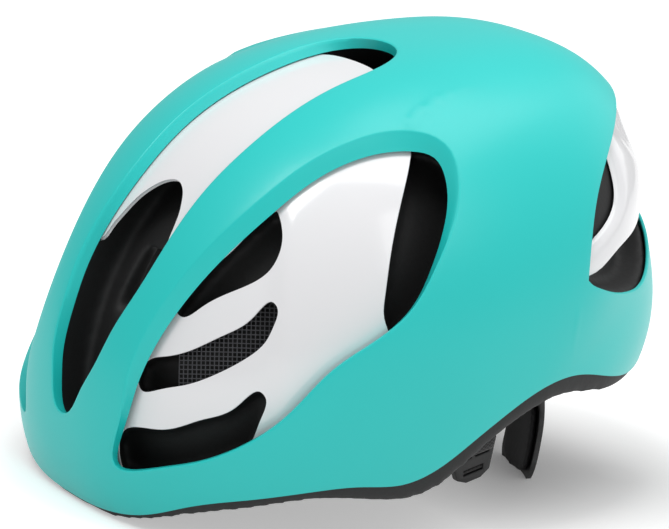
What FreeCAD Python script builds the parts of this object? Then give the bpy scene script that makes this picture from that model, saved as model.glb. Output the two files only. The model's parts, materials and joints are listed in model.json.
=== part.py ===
"""Road cycling helmet with a dial fit system, in millimetres.

The helmet is drawn level, as it is worn: X to the wearer's left, Y to the rear, Z up. At the end every
piece is turned nose-down by the same angle, so that the helmet stands on its front lip and on the two lobes
of the cradle.
"""
import FreeCAD, Part
import math
import os
import Sketcher
from FreeCAD import Placement, Rotation, Vector

os.makedirs("parts", exist_ok=True)
doc = FreeCAD.newDocument("helmet")

# ---------------------------------------------------------------- driving sizes

SIZES = (
    # Outer form: its half width, its lateral axis's height, and its reach from that axis at each station.
    ("half_width", 99.0), ("axis_height", 45.0), ("reach_chin", 127.0), ("reach_nose", 146.0),
    ("reach_brow", 141.0), ("reach_fore", 135.5), ("reach_crown", 132.5), ("reach_back", 142.5),
    ("reach_tail", 159.0), ("reach_stern", 148.5), ("reach_rear", 147.5), ("reach_nape", 104.0),
    # Head cavity.
    ("head_half_width", 79.0), ("head_axis_height", 50.0), ("head_front", 108.0), ("head_top", 98.0),
    ("head_back", 110.0),
    # Skins, and depths below the outer form.
    ("shell_wall", 1.5), ("rim_wall", 2.0), ("rim_depth", 4.6), ("panel_wall", 1.6), ("seat_gap", 0.3),
    ("crown_panel_depth", 5.0), ("side_panel_depth", 6.0), ("flange", 3.5), ("arch_depth", 2.2),
    ("arch_wall", 3.2), ("duct_depth", 20.0), ("rear_duct_depth", 15.0), ("net_depth", 13.0),
    ("net_wall", 0.6), ("net_ledge", 2.0),
    # Comfort pads.
    ("pad_wall", 6.0), ("hook_radius", 6.0), ("hook_wall", 0.8),
    # Stand: the front lip and the cradle's lobes meet one plane.
    ("stand_nose_y", -139.0), ("stand_nose_height", 27.0), ("stand_lobe_y", 73.0),
    ("stand_lobe_height", -24.0),
    # Fit system. Its ring is the circle that the two toothed arms follow.
    ("ring_tilt", 20.0), ("ring_y", 35.3), ("ring_height", 46.0), ("arm_radius", 70.0), ("arm_wall", 1.6),
    ("arm_height", 10.0), ("arm_start", 36.0), ("arm_end", 98.0), ("band_start", 60.0), ("slide_gap", 0.3),
    ("gear_module", 1.1), ("gear_teeth", 10.0), ("rack_teeth", 12.0), ("rack_back", 10.5),
    ("shaft_radius", 3.0), ("shaft_gap", 0.06), ("housing_half_angle", 29.0), ("housing_wall", 1.6),
    ("boss_radius", 8.0), ("boss_height", 2.4), ("dial_radius", 13.0), ("dial_height", 8.0),
    ("grip_wall", 2.0), ("scallops", 12.0), ("screw_radius", 1.5),
    ("cradle_wall", 2.4), ("cradle_pad_wall", 3.0),
    ("strip_radius", 131.0), ("strip_width", 16.0), ("strip_wall", 1.6), ("rail_wall", 1.6),
    ("temple_y", -20.0), ("pin_radius", 2.5), ("pin_head_radius", 4.6), ("eye_radius", 6.5),
    # Straps and buckle.
    ("strap_width", 15.0), ("strap_wall", 1.3), ("strap_y", 14.0), ("divider_x", 62.0),
    ("divider_height", 13.0), ("front_anchor_y", -40.0), ("rear_anchor_y", 52.0), ("anchor_height", 60.0),
    ("anchor_radius", 3.0), ("buckle_height", 118.0), ("buckle_length", 24.0), ("buckle_width", 25.0),
    ("buckle_wall", 7.0),
)

sheet = doc.addObject("Spreadsheet::Sheet", "sizes")
for row, (alias, value) in enumerate(SIZES, start=1):
    sheet.set("A%d" % row, alias)
    sheet.set("B%d" % row, str(value))
    sheet.setAlias("B%d" % row, alias)
doc.recompute()


def size(alias):
    """A driving size, read from the sheet."""
    return float(sheet.get(alias))


# ---------------------------------------------------------------- frames

X_AXIS = Vector(1, 0, 0)
Y_AXIS = Vector(0, 1, 0)
Z_AXIS = Vector(0, 0, 1)

# The ring's frame: Y runs to the rear and down along the ring's plane, Z is the ring's axis.
ring = Placement(Vector(0, size("ring_y"), size("ring_height")), Rotation(X_AXIS, -size("ring_tilt")))
# The temple pins lie where the ring's plane crosses their place on the wearer's temples.
temple_reach = (size("ring_y") - size("temple_y")) / math.cos(math.radians(size("ring_tilt")))
temple = ring.multVec(Vector(0, -temple_reach, 0))
# The temple frame: Z is the pins' axis, X runs to the rear and Y up.
pivot = Placement(temple, Rotation(Vector(1, 1, 1), 120))
# The dial's frame: Z is its shaft, out to the rear from the arms' mid radius, and X stays to the left.
dial_frame = ring.multiply(Placement(Vector(0, size("arm_radius"), 0), Rotation(X_AXIS, -90)))

# The helmet is set down on the plane through its front lip and the cradle's lobes.
stand_drop = size("stand_nose_height") - size("stand_lobe_height")
stand_run = size("stand_lobe_y") - size("stand_nose_y")
stand_turn = Rotation(X_AXIS, math.degrees(math.atan2(stand_drop, stand_run)))

# ---------------------------------------------------------------- forms and cutters


def smooth(points, closed=False, even=False):
    """A smooth curve through the points; an even one has its knots evenly spaced."""
    curve = Part.BSplineCurve()
    places = [Vector(*point) for point in points]
    if even:
        steps = [float(step) for step in range(len(places) + 1)]
        curve.interpolate(places, PeriodicFlag=closed, Parameters=steps)
    else:
        curve.interpolate(places, PeriodicFlag=closed)
    return curve


REACHES = (
    (-30, "reach_chin"), (0, "reach_nose"), (30, "reach_brow"), (60, "reach_fore"), (90, "reach_crown"),
    (115, "reach_back"), (140, "reach_tail"), (160, "reach_stern"), (180, "reach_rear"), (205, "reach_nape"),
)
reach_curve = Part.BSplineCurve()
reach_curve.interpolate(
    [Vector(station, size(alias), 0) for station, alias in REACHES],
    Parameters=[float(station) for station, alias in REACHES],
)


def outer_height(degrees):
    """How high the form's middle line stands at this angle up from the nose."""
    return size("axis_height") + reach_curve.value(degrees).y * math.sin(math.radians(degrees))


# The form's highest place, which every level ring is drawn around.
crest = max(range(60, 130), key=lambda degrees: outer_height(degrees))
crest_y = -reach_curve.value(crest).y * math.cos(math.radians(crest))
crest_height = outer_height(crest)


def outer_reach(x_way, y_way, height, depth):
    """How far the form, sunk by the depth, lies from its upright axis at this height, in this direction."""
    near, far = 0.0, 260.0
    half_width = size("half_width") - depth
    for _ in range(34):
        middle = (near + far) / 2
        across = middle * abs(x_way)
        along = crest_y + middle * y_way
        rise = height - size("axis_height")
        turn = math.atan2(rise, -along)
        up = math.sin(turn) ** 2
        lateral = (2.5 if along < 0 else 2.0) * (1 - up) + 2.9 * up
        radial = (1.95 if along < 0 else 2.0) * (1 - up) + 2.55 * up
        degrees = math.degrees(turn)
        if degrees < -90:
            degrees += 360
        reach = reach_curve.value(min(max(degrees, -30), 205)).y - depth
        if (across / half_width) ** lateral + (math.hypot(along, rise) / reach) ** radial < 1:
            near = middle
        else:
            far = middle
    return near


def head_reach(x_way, y_way, height, depth):
    """The same for the head cavity, sunk towards the head by the depth."""
    rise = max(height - size("head_axis_height"), 0) / (size("head_top") - depth)
    scale = max(1 - rise ** 2.4, 0) ** (1 / 2.4)
    half_width = (size("head_half_width") - depth) * scale
    length = (size("head_front") if y_way < 0 else size("head_back")) - depth
    power = 2.2 if y_way < 0 else 2.6
    total = (abs(x_way) / half_width) ** power + (abs(y_way) / (length * scale)) ** power
    return total ** (-1 / power)


def lofted(reach, heights, depth, directions=24):
    """A solid through level rings of the form."""
    centre = crest_y if reach is outer_reach else 0.0
    rings = []
    for height in heights:
        points = []
        for step in range(directions):
            way = 2 * math.pi * (step + 0.5) / directions
            distance = reach(math.cos(way), math.sin(way), height, depth)
            points.append((distance * math.cos(way), centre + distance * math.sin(way), height))
        rings.append(Part.Wire(smooth(points, closed=True, even=True).toShape()))
    return Part.makeLoft(rings, True, False)


def outer_form(depth):
    """The helmet's outer form, sunk by the depth."""
    top = crest_height - depth
    low = 15.0
    steps = 12
    heights = [low + (top - 0.6 - low) * math.sin(math.pi / 2 * step / steps) for step in range(steps + 1)]
    return lofted(outer_reach, heights, depth)


def head_form(depth):
    """The head cavity, sunk towards the head by the depth."""
    low = size("head_axis_height")
    top = low + size("head_top") - depth - 0.8
    heights = [-20.0, low - 25] + [low + (top - low) * math.sin(math.pi / 2 * step / 8) for step in range(9)]
    return lofted(head_reach, heights, depth, 20)


def grown(points, growth):
    """The closed outline, moved outwards."""
    area = sum(a[0] * b[1] - a[1] * b[0] for a, b in zip(points, points[1:] + points[:1]))
    out = math.copysign(growth, area)
    moved = []
    for before, point, after in zip(points[-1:] + points[:-1], points, points[1:] + points[:1]):
        run, rise = after[0] - before[0], after[1] - before[1]
        length = math.hypot(run, rise)
        moved.append((point[0] + out * rise / length, point[1] - out * run / length))
    return tuple(moved)


def prism(points, plane, low, high, growth=0.0):
    """A bar with the smooth closed outline as its section, between two heights above the plane."""
    outline = grown(tuple(points), growth)
    wire = Part.Wire(smooth([(u, v, low) for u, v in outline], closed=True).toShape())
    bar = Part.Face(wire).extrude(Vector(0, 0, high - low))
    bar.Placement = plane
    return bar


def mirrored(shape):
    """The shape on the wearer's other side."""
    return shape.mirror(Vector(0, 0, 0), X_AXIS)


def box(low, high):
    """A box between two corners."""
    spans = [top - base for base, top in zip(low, high)]
    return Part.makeBox(spans[0], spans[1], spans[2], Vector(*low))


# Design planes: one looks at the side vent, one at the crown vent, one sideways and one from behind.
side_plane = Placement(
    Vector(0, 0, 0), Rotation(Vector(1, 1, 0), Vector(-1, 1, 2.449), Vector(1.2247, -1.2247, 1), "ZXY")
)
crown_plane = Placement(Vector(0, 0, 0), Rotation(X_AXIS, 45))
profile_plane = Placement(Vector(0, 0, 0), Rotation(Vector(1, 1, 1), 120))
rear_plane = Placement(Vector(0, 0, 0), Rotation(X_AXIS, 90))

# Lower edges of shell and liner, seen from the side: (to the rear, up).
SHELL_EDGE = (
    (-165, 28), (-140, 31), (-128, 39), (-110, 42.5), (-87, 43), (-70, 41.5), (-52, 38), (-40, 39.5),
    (-20, 47.5), (0, 55), (20, 59), (38, 57), (60, 48), (80, 39.5), (100, 35), (125, 34), (165, 34),
)
LINER_EDGE = (
    (-165, 22), (-150, 24), (-138, 26.5), (-128, 33), (-110, 37), (-87, 38), (-70, 35), (-50, 29.5),
    (-36, 30.5), (-18, 39), (0, 46), (20, 50), (40, 47), (60, 40), (80, 34), (100, 31), (130, 31), (165, 31),
)
# Vents. The side vent and what shows in it, on the side plane.
SIDE_VENT = (
    (-78, -14), (-75, 0), (-70, 15), (-56, 41), (-39, 62), (-19, 82), (-3, 96), (11, 104), (29, 108.5),
    (38, 107), (43, 98), (43, 80), (38.5, 63), (31, 47), (20, 36), (3, 23), (-13, 6), (-28, -5), (-45, -12),
    (-62, -15),
)
TOP_PORT = (
    (-56.8, 42.8), (-40.2, 63.4), (-30.8, 73.2), (-22, 81.9), (-19.6, 83), (-17.2, 79.5), (-17.2, 64),
    (-20, 59), (-31, 51.6), (-46, 44), (-54, 40.5),
)
MIDDLE_PORT = (
    (-71.3, 16.8), (-66, 26), (-60, 27), (-51, 29), (-38, 35), (-27, 42), (-19, 48), (-17, 46), (-18, 38),
    (-21, 32), (-29, 25), (-40, 19), (-51, 15), (-62, 13), (-69, 12.7),
)
LOWER_PORT = (
    (-79, -13), (-76.8, -0.8), (-61, -0.3), (-46, 3.5), (-33, 8.5), (-23, 14.5), (-21, 12.5), (-22.8, 3),
    (-27.3, -6.2), (-36, -10.3), (-47, -13.9), (-62, -16.6), (-73, -16.9), (-77.8, -16),
)
SIDE_SLIT = (
    (28, 110), (26.5, 90), (23, 68), (21, 50), (22, 36), (31, 43), (40, 60), (46, 80), (46, 98), (38, 110),
)
SIDE_PORTS = (TOP_PORT, MIDDLE_PORT, LOWER_PORT)
# Crown vent: its half width at each place along the crown plane.
CROWN_VENT = (
    (-55, 2.5), (-46, 8), (-36, 11.5), (-19, 14.5), (-5, 17), (22, 18.5), (44, 18.8), (67, 19.8),
    (92, 19.3), (111, 18.5), (126, 16.5), (134, 11),
)
CROWN_ARCH = ((43, 0), (39.5, 8), (32, 13), (21, 16.5), (10, 18.5), (2, 26), (-30, 30), (-60, 30))
crown_panel_end = 124.5
# The rear opening from the side, and the bar that bridges it from behind.
REAR_OPENING = (
    (47, 95), (53, 112), (60.5, 124), (71, 133), (84, 140), (97, 144.5), (110, 146.5), (125, 145),
    (150, 134), (166, 120), (166, 92), (140, 88), (122, 79.5), (110, 74), (97.5, 72.5), (82, 76),
    (66.5, 82.4), (54, 89.3), (50.5, 91.6),
)
ARCH_LOWER = ((92, 89), (81, 97), (70, 100), (63, 104.5), (57, 111), (45, 116.5), (25, 119), (0, 120))
ARCH_UPPER = ((95, 108), (86, 111), (81, 116), (75, 124), (70, 129.5), (55, 133.5), (28, 133), (0, 133))


def two_sided(points):
    """A closed outline from its right half; points on the middle line are kept once."""
    left = [(-u, v) for u, v in points if u]
    return list(points) + left[::-1]


def edge_prism(edge):
    """Everything above the lower edge."""
    curve = smooth([(y, z, 0) for y, z in edge]).toShape()
    first, last = edge[0], edge[-1]
    roof = 230.0
    corners = (last, (last[0], roof), (first[0], roof), first)
    sides = Part.makePolygon([Vector(y, z, 0) for y, z in corners])
    face = Part.Face(Part.Wire([curve] + sides.Edges))
    bar = face.extrude(Vector(0, 0, 240))
    bar.translate(Vector(0, 0, -120))
    bar.Placement = profile_plane.multiply(bar.Placement)
    return bar


def side_bar(outline, growth=0.0):
    """A cutter through the left wall along the side plane's normal."""
    return prism(outline, side_plane, 20, 190, growth)


def crown_bar(outline, growth=0.0):
    """A cutter through the crown along the crown plane's normal."""
    return prism(outline, crown_plane, 40, 220, growth)


def band_between(lower, upper):
    """A cutter from front to back between two curves drawn from behind, the same on both sides."""
    edges = []
    for curve in (lower, upper):
        whole = list(curve) + [(-x, z) for x, z in curve[-2::-1]]
        edges.append(smooth([(x, z, 0) for x, z in whole]).toShape())
    ends = []
    for side in (0, 1):
        ends.append(Part.makeLine(edges[0].Vertexes[side].Point, edges[1].Vertexes[side].Point))
    face = Part.Face(Part.Wire(Part.__sortEdges__(edges + ends)))
    bar = face.extrude(Vector(0, 0, -200))
    bar.Placement = rear_plane
    return bar


crown_outline = two_sided([(width, place) for place, width in CROWN_VENT])
arch_outline = two_sided([(width, place) for place, width in CROWN_ARCH])

# ---------------------------------------------------------------- the rigid skins and the liner

stand_pieces = []


def feature(label, shape):
    """A sub-part whose form comes from the curved solids above."""
    made = doc.addObject("Part::Feature", label)
    made.Label = label
    made.Shape = shape.removeSplitter() if shape.ShapeType == "Solid" else shape
    stand_pieces.append((made, Placement()))
    return made


forms = {}


def sunk(depth):
    """The outer form at this depth, drawn once."""
    if depth not in forms:
        forms[depth] = outer_form(depth)
    return forms[depth]


def layer(top_depth, bottom_depth, region):
    """The layer of the form between two depths, inside the region."""
    return sunk(top_depth).common(region).cut(sunk(bottom_depth))


gap = size("seat_gap")
shell_wall = size("shell_wall")
panel_wall = size("panel_wall")
stand_plane = Placement(
    Vector(0, size("stand_nose_y"), size("stand_nose_height")), stand_turn.inverted()
)
under_stand = box((-150, -80, -60), (150, 320, 0))
under_stand.Placement = stand_plane
above_shell_edge = edge_prism(SHELL_EDGE)
above_liner_edge = edge_prism(LINER_EDGE)
rear_cutter = prism(REAR_OPENING, profile_plane, -120, 120)
side_cutter = side_bar(SIDE_VENT)
crown_cutter = crown_bar(crown_outline)
vent_cutters = [side_cutter, mirrored(side_cutter), crown_cutter]
# The shell turns in round each vent: the void inside it stops short of the rims.
rim_bars = [side_bar(SIDE_VENT, size("rim_wall")), crown_bar(crown_outline, size("rim_wall"))]
rim_bars.append(mirrored(rim_bars[0]))
void = sunk(shell_wall).cut([bar.cut(sunk(size("rim_depth"))) for bar in rim_bars])
shell = sunk(0).common(above_shell_edge).cut(void).cut(vent_cutters).cut(rear_cutter)
feature("outer_shell", shell)

# Crown panel: it lies in the crown vent, under the ribs' edges, and leaves a pointed arch open.
crown_depth = size("crown_panel_depth")
flange = size("flange")
arch_cutter = crown_bar(arch_outline)
crown_limit = box((-60, -200, 0), (60, crown_panel_end, 300))
crown_limit.Placement = Placement(Vector(0, 0, 0), Rotation(X_AXIS, 45))
crown_zone = crown_bar(crown_outline, flange)
crown_panel = layer(crown_depth, crown_depth + panel_wall, crown_zone.common(crown_limit).cut(arch_cutter))
feature("crown_panel", crown_panel)

# Side panels: each has three ports with two bars between them, and ends at a slit.
side_depth = size("side_panel_depth")
side_zone = side_bar(SIDE_VENT, flange)
ports = [side_bar(outline) for outline in SIDE_PORTS]
slit = side_bar(SIDE_SLIT)
side_panel = layer(side_depth, side_depth + panel_wall, side_zone).cut(ports + [slit])
feature("side_panel_left", side_panel)
feature("side_panel_right", mirrored(side_panel))

# Rear arch: a bar that bridges the rear opening and goes under the tail.
arch_band = band_between(ARCH_LOWER, ARCH_UPPER)
arch_top = size("arch_depth")
arch_bottom = arch_top + size("arch_wall")
rear_half = box((-120, 40, 0), (120, 220, 240))
rear_arch = layer(arch_top, arch_bottom, arch_band.common(rear_half))
feature("rear_arch", rear_arch)

# Liner: foam under all of it. Its lower lip shows, and it is hollowed for the panels, ducts and head.
liner = sunk(shell_wall + gap).common(above_liner_edge)
head_cavity = head_form(0)
side_seat = layer(0, side_depth + panel_wall + gap, side_bar(SIDE_VENT, flange + gap))
crown_seat = layer(0, crown_depth + panel_wall + gap, crown_bar(crown_outline, flange + gap))
duct_floor = size("duct_depth")
side_ducts = [layer(0, duct_floor, bar) for bar in ports + [slit]]
crown_duct = layer(0, duct_floor, crown_bar(crown_outline, -2.5))
arch_room = layer(0, arch_bottom + gap, band_between(ARCH_LOWER, ARCH_UPPER).common(rear_half))
rear_duct = layer(0, size("rear_duct_depth"), rear_cutter).cut(arch_band)
THROATS = (((-9, -140, 95), (9, -60, 118)), ((-9, -50, 120), (9, -15, 200)), ((-9, -5, 120), (9, 22, 200)))
throats = [box(low, high) for low, high in THROATS]
liner = liner.cut([head_cavity, side_seat, mirrored(side_seat), crown_seat, crown_duct])
liner = liner.cut(side_ducts + [mirrored(duct) for duct in side_ducts])
liner = liner.cut([arch_room, rear_duct] + throats)

# Net: a thin sheet behind the middle port, held by its border in the foam.
net_depth = size("net_depth")
net = layer(net_depth, net_depth + size("net_wall"), side_bar(MIDDLE_PORT, size("net_ledge")))
liner = liner.cut([net, mirrored(net)])

# Rear pocket of the liner, which the fit system moves in, and a groove for its height rail.
strip_radius = size("strip_radius")


def arc_about(frame, inner, outer, low, high, start, sweep):
    """An arc of rectangular section about a frame's Z axis."""
    ring_piece = Part.makeCylinder(outer, high - low, Vector(0, 0, low), Z_AXIS, sweep)
    ring_piece = ring_piece.cut(Part.makeCylinder(inner, high - low, Vector(0, 0, low), Z_AXIS, sweep))
    ring_piece.Placement = Placement(Vector(0, 0, 0), Rotation(Z_AXIS, start))
    ring_piece.Placement = frame.multiply(ring_piece.Placement)
    return ring_piece


strip_half = size("strip_width") / 2
strip_outer = strip_radius + size("strip_wall")
slide_gap = size("slide_gap")
rail_wall = size("rail_wall")
rail_outer = strip_outer + slide_gap + rail_wall
pocket = box((-42, 60, -10), (42, 122, 52)).common(
    Part.makeCylinder(62, 80, Vector(0, 60, -20), Z_AXIS)
)
rail_room = arc_about(pivot, 100, rail_outer + slide_gap, -strip_half - 4, strip_half + 4, -30, 47)
liner = liner.cut([pocket, rail_room])
rail_half = strip_half + 3.6
slot_half = strip_half + slide_gap
mouth_half = strip_half - 3
slot_inner = strip_radius - slide_gap
rail = arc_about(pivot, slot_inner - rail_wall, rail_outer, -rail_half, rail_half, -6, 22)
rail_slot = arc_about(pivot, slot_inner, strip_outer + slide_gap, -slot_half, slot_half, -9, 30)
rail_mouth = arc_about(pivot, 100, strip_radius + 0.5, -mouth_half, mouth_half, -9, 30)
rail = rail.cut([rail_slot, rail_mouth])
feature("height_rail", rail)

# Temple pins, and anchors that hold the webbing in the foam.
pin_radius = size("pin_radius")
band_outer = size("arm_radius") + size("arm_wall") / 2 + slide_gap + size("arm_wall")


def stud(frame, steps):
    """A turned pin along the frame's Z axis: (from, to, radius) of each step."""
    whole = None
    for low, high, radius in steps:
        piece = Part.makeCylinder(radius, high - low, Vector(0, 0, low))
        whole = piece if whole is None else whole.fuse(piece)
    whole.Placement = frame
    return whole.removeSplitter()


band_inner = band_outer - size("arm_wall")
temple_pin = stud(
    pivot,
    (
        (band_inner - 1.5, band_inner - 0.2, size("pin_head_radius")),
        (band_inner - 0.2, band_outer + 0.2, pin_radius),
        (band_outer + 0.2, band_outer + 4.0, size("pin_head_radius")),
        (band_outer + 4.0, band_outer + 12.0, pin_radius),
    ),
)
feature("temple_pin_left", temple_pin)
feature("temple_pin_right", mirrored(temple_pin))
anchors = []
for place in (size("front_anchor_y"), size("rear_anchor_y")):
    frame = Placement(Vector(0, place, size("anchor_height")), pivot.Rotation)
    anchors.append(stud(frame, ((64.0, 65.2, 5.0), (65.2, 84.0, size("anchor_radius")), (84.0, 86.0, 5.5))))
anchors += [mirrored(anchor) for anchor in anchors]
feature("strap_anchors", Part.makeCompound(anchors))
liner = liner.cut([temple_pin, mirrored(temple_pin)] + anchors)
feature("net_left", net)
feature("net_right", mirrored(net))
liner = liner.common(above_liner_edge).cut(under_stand)

# Comfort pads lie on hook dots inside the head cavity.
hook_wall = size("hook_wall")
pad_floor = hook_wall + size("pad_wall")
inner_forms = {depth: head_form(depth) for depth in (hook_wall, pad_floor)}


def padding(region):
    """The pad that fills this region, on the cavity's wall."""
    return inner_forms[hook_wall].common(region).cut(inner_forms[pad_floor])


brow_region = box((-58, -130, 54), (58, -50, 74))
CROWN_PAD = ((-9, -52), (0, -58), (9, -52), (10, 0), (9, 46), (0, 52), (-9, 46), (-10, 0))
SIDE_PAD = ((28, -48), (36, -56), (44, -48), (50, 0), (46, 40), (38, 48), (31, 40), (34, 0))
crown_region = prism(CROWN_PAD, Placement(), 100, 200)
side_region = prism(SIDE_PAD, Placement(), 88, 200)
feature("brow_pad", padding(brow_region))
feature("crown_pad", padding(crown_region))
side_pad = padding(side_region)
feature("side_pad_left", side_pad)
feature("side_pad_right", mirrored(side_pad))
hook_bars = []
for x, y in ((0, -42), (0, 36), (38, -42), (41, 34), (-38, -42), (-41, 34)):
    hook_bars.append(Part.makeCylinder(size("hook_radius"), 100, Vector(x, y, 80)))
for x in (-34, 0, 34):
    hook_bars.append(Part.makeCylinder(size("hook_radius"), 60, Vector(x, -70, 64), Vector(0, -1, 0)))
hooks = []
for bar in hook_bars:
    hooks += head_cavity.common(bar).cut(inner_forms[hook_wall]).Solids
feature("pad_hooks", Part.makeCompound(hooks))

# ---------------------------------------------------------------- the fit system

unnumbered = {}


def origin_plane(body, role):
    """One of the body's own three planes."""
    return next(part for part in body.Origin.OriginFeatures if part.Role == role)


def sketch_on(body, role, offset=None):
    """A sketch on one of the body's planes."""
    unnumbered[body.Name] = unnumbered.get(body.Name, 0) + 1
    made = body.newObject("Sketcher::SketchObject", "%s_sketch%d" % (body.Name, unnumbered[body.Name]))
    made.AttachmentSupport = (origin_plane(body, role), [""])
    made.MapMode = "FlatFace"
    if offset:
        made.AttachmentOffset = offset
    return made


def bind(sketch, kind, geometry, point, value, guess):
    """A distance from the sketch's origin to a point, bound to the sheet."""
    number = sketch.addConstraint(Sketcher.Constraint(kind, -1, 1, geometry, point, guess))
    sketch.setExpression("Constraints[%d]" % number, value)


def outline(sketch, corners):
    """A closed outline of straight lines; each corner is a pair of expressions on the sheet."""
    first = sketch.GeometryCount
    count = len(corners)
    guesses = []
    for step in range(count):
        way = 2 * math.pi * step / count
        guesses.append(Vector(10 * math.cos(way), 10 * math.sin(way), 0))
    for start, end in zip(guesses, guesses[1:] + guesses[:1]):
        sketch.addGeometry(Part.LineSegment(start, end), False)
    for step in range(count):
        after = first + (step + 1) % count
        sketch.addConstraint(Sketcher.Constraint("Coincident", first + step, 2, after, 1))
    for step, (across, up) in enumerate(corners):
        bind(sketch, "DistanceX", first + step, 1, across, guesses[step].x)
        bind(sketch, "DistanceY", first + step, 1, up, guesses[step].y)


def rectangle(sketch, left, right, low, high):
    """A rectangle between expressions on the sheet."""
    outline(sketch, ((left, low), (right, low), (right, high), (left, high)))


def circle(sketch, across, up, radius):
    """A circle whose place and radius are expressions on the sheet."""
    number = sketch.addGeometry(Part.Circle(Vector(1, 1, 0), Z_AXIS, 2.0), False)
    bind(sketch, "DistanceX", number, 3, across, 1.0)
    bind(sketch, "DistanceY", number, 3, up, 1.0)
    radius_number = sketch.addConstraint(Sketcher.Constraint("Radius", number, 2.0))
    sketch.setExpression("Constraints[%d]" % radius_number, radius)


def new_body(label, frame):
    """A body that will stand in this frame."""
    made = doc.addObject("PartDesign::Body", label)
    made.Label = label
    stand_pieces.append((made, frame))
    return made


def step_feature(body, kind, profile, **expressions):
    """A feature of the body, with its sizes bound to the sheet."""
    made = body.newObject("PartDesign::" + kind, "%s_%s" % (body.Name, profile.Name if profile else kind))
    made.Profile = profile
    for name, value in expressions.items():
        made.setExpression(name, value)
    return made


def arc_bar(body, start, sweep, inner, outer, low, high):
    """An arc of rectangular section about the body's Z axis, from the start direction."""
    profile = sketch_on(body, "XZ_Plane", Placement(Vector(0, 0, 0), Rotation(Y_AXIS, start)))
    rectangle(profile, inner, outer, low, high)
    made = step_feature(body, "Revolution", profile, Angle=sweep)
    made.ReferenceAxis = (profile, ["V_Axis"])
    doc.recompute()
    return made


ARM_IN = "sizes.arm_radius - sizes.arm_wall / 2"
ARM_OUT = "sizes.arm_radius + sizes.arm_wall / 2"
BAND_IN = ARM_OUT + " + sizes.slide_gap"
BAND_OUT = BAND_IN + " + sizes.arm_wall"
HALF_ARM = "sizes.arm_height / 2"
RACK_ROOT = "sizes.gear_module * (sizes.gear_teeth / 2 + 1.15)"
RACK_TIP = "sizes.gear_module * (sizes.gear_teeth / 2 - 0.8)"
tooth_angle = math.degrees(math.pi * size("gear_module") / size("arm_radius"))
arm_tail = size("rack_teeth") / 2 * tooth_angle + 2.5


def mirror_pair(side, low, high):
    """The two heights for the left arm, or turned over for the right one."""
    return (low, high) if side > 0 else ("-(%s)" % high, "-(%s)" % low)


def fit_arm(label, side):
    """A toothed arm: its rack passes the middle, above the pinion on the left and below it on the right."""
    body = new_body(label, ring)

    def bar(near, far, low, high):
        """A stretch of the arm between two angles from the middle of the back, on the arm's own side."""
        start = 90 - far if side > 0 else 90 + near
        return arc_bar(body, start, "%s" % (far - near), ARM_IN, ARM_OUT, *mirror_pair(side, low, high))

    start = size("arm_start")
    rack = bar(-arm_tail, start + 2, RACK_ROOT, "sizes.rack_back")
    bar(start, start + 4, "-" + HALF_ARM, "sizes.rack_back")
    bar(start + 3, size("arm_end"), "-" + HALF_ARM, HALF_ARM)
    # One tooth through the wall, then the row of them along the rack.
    row = (size("rack_teeth") - 1) * tooth_angle
    turn = Rotation(Y_AXIS, -row / 2)
    inside = Vector(0, 0, -(size("arm_radius") - size("arm_wall") / 2))
    profile = sketch_on(body, "XZ_Plane", Placement(turn.multVec(inside), turn))
    sign = "" if side > 0 else "-"
    root = "%s(%s + 0.2)" % (sign, RACK_ROOT)
    tip = "%s(%s)" % (sign, RACK_TIP)
    half_root, half_tip = "sizes.gear_module * 0.92", "sizes.gear_module * 0.33"
    outline(profile, (("-" + half_root, root), (half_root, root), (half_tip, tip), ("-" + half_tip, tip)))
    tooth = step_feature(body, "Pad", profile, Length="sizes.arm_wall")
    tooth.Reversed = True
    doc.recompute()
    teeth = body.newObject("PartDesign::PolarPattern", label + "_teeth")
    teeth.Originals = [tooth]
    teeth.Axis = (rack.Profile[0], ["V_Axis"])
    teeth.Angle = row
    teeth.setExpression("Occurrences", "sizes.rack_teeth")
    body.Tip = teeth
    return body


fit_arm("fit_arm_left", 1)
fit_arm("fit_arm_right", -1)


def fit_band(label, side):
    """A band: an arc that its arm slides in, then a straight run to an eye on the temple pin."""
    body = new_body(label, ring)
    start = size("band_start")
    from_way = 0 if side > 0 else 90 + start
    arc_bar(body, from_way, "90 - sizes.band_start", BAND_IN, BAND_OUT, "-" + HALF_ARM, HALF_ARM)
    run = sketch_on(body, "XY_Plane", Placement(Vector(0, 0, -size("arm_height") / 2), Rotation()))
    reach = "-(sizes.ring_y - sizes.temple_y) / cos(sizes.ring_tilt * 1 deg)"
    near, far = (BAND_IN, BAND_OUT) if side > 0 else ("-(%s)" % BAND_OUT, "-(%s)" % BAND_IN)
    rectangle(run, near, far, reach, "0.05")
    step_feature(body, "Pad", run, Length="sizes.arm_height")
    wall_from = band_inner if side > 0 else -band_outer
    eye = sketch_on(body, "YZ_Plane", Placement(Vector(0, 0, wall_from), Rotation()))
    circle(eye, reach, "0", "sizes.eye_radius")
    step_feature(body, "Pad", eye, Length="sizes.arm_wall")
    hole = sketch_on(body, "YZ_Plane", Placement(Vector(0, 0, wall_from), Rotation()))
    circle(hole, reach, "0", "sizes.pin_radius + sizes.shaft_gap")
    drilled = step_feature(body, "Pocket", hole, Length="sizes.arm_wall * 2")
    drilled.Midplane = True
    return body


fit_band("fit_band_left", 1)
fit_band("fit_band_right", -1)


screw_turn = 14.0
arm_radius = size("arm_radius")
arm_half = size("arm_wall") / 2
wall_in = arm_radius + arm_half + slide_gap
wall_out = wall_in + size("housing_wall")
cover_out = arm_radius - arm_half - slide_gap
cover_in = cover_out - size("housing_wall")
channel = size("rack_back") + slide_gap
housing_wall = size("housing_wall")
boss_top = wall_out + size("boss_height")
half_turn = size("housing_half_angle")

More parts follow.
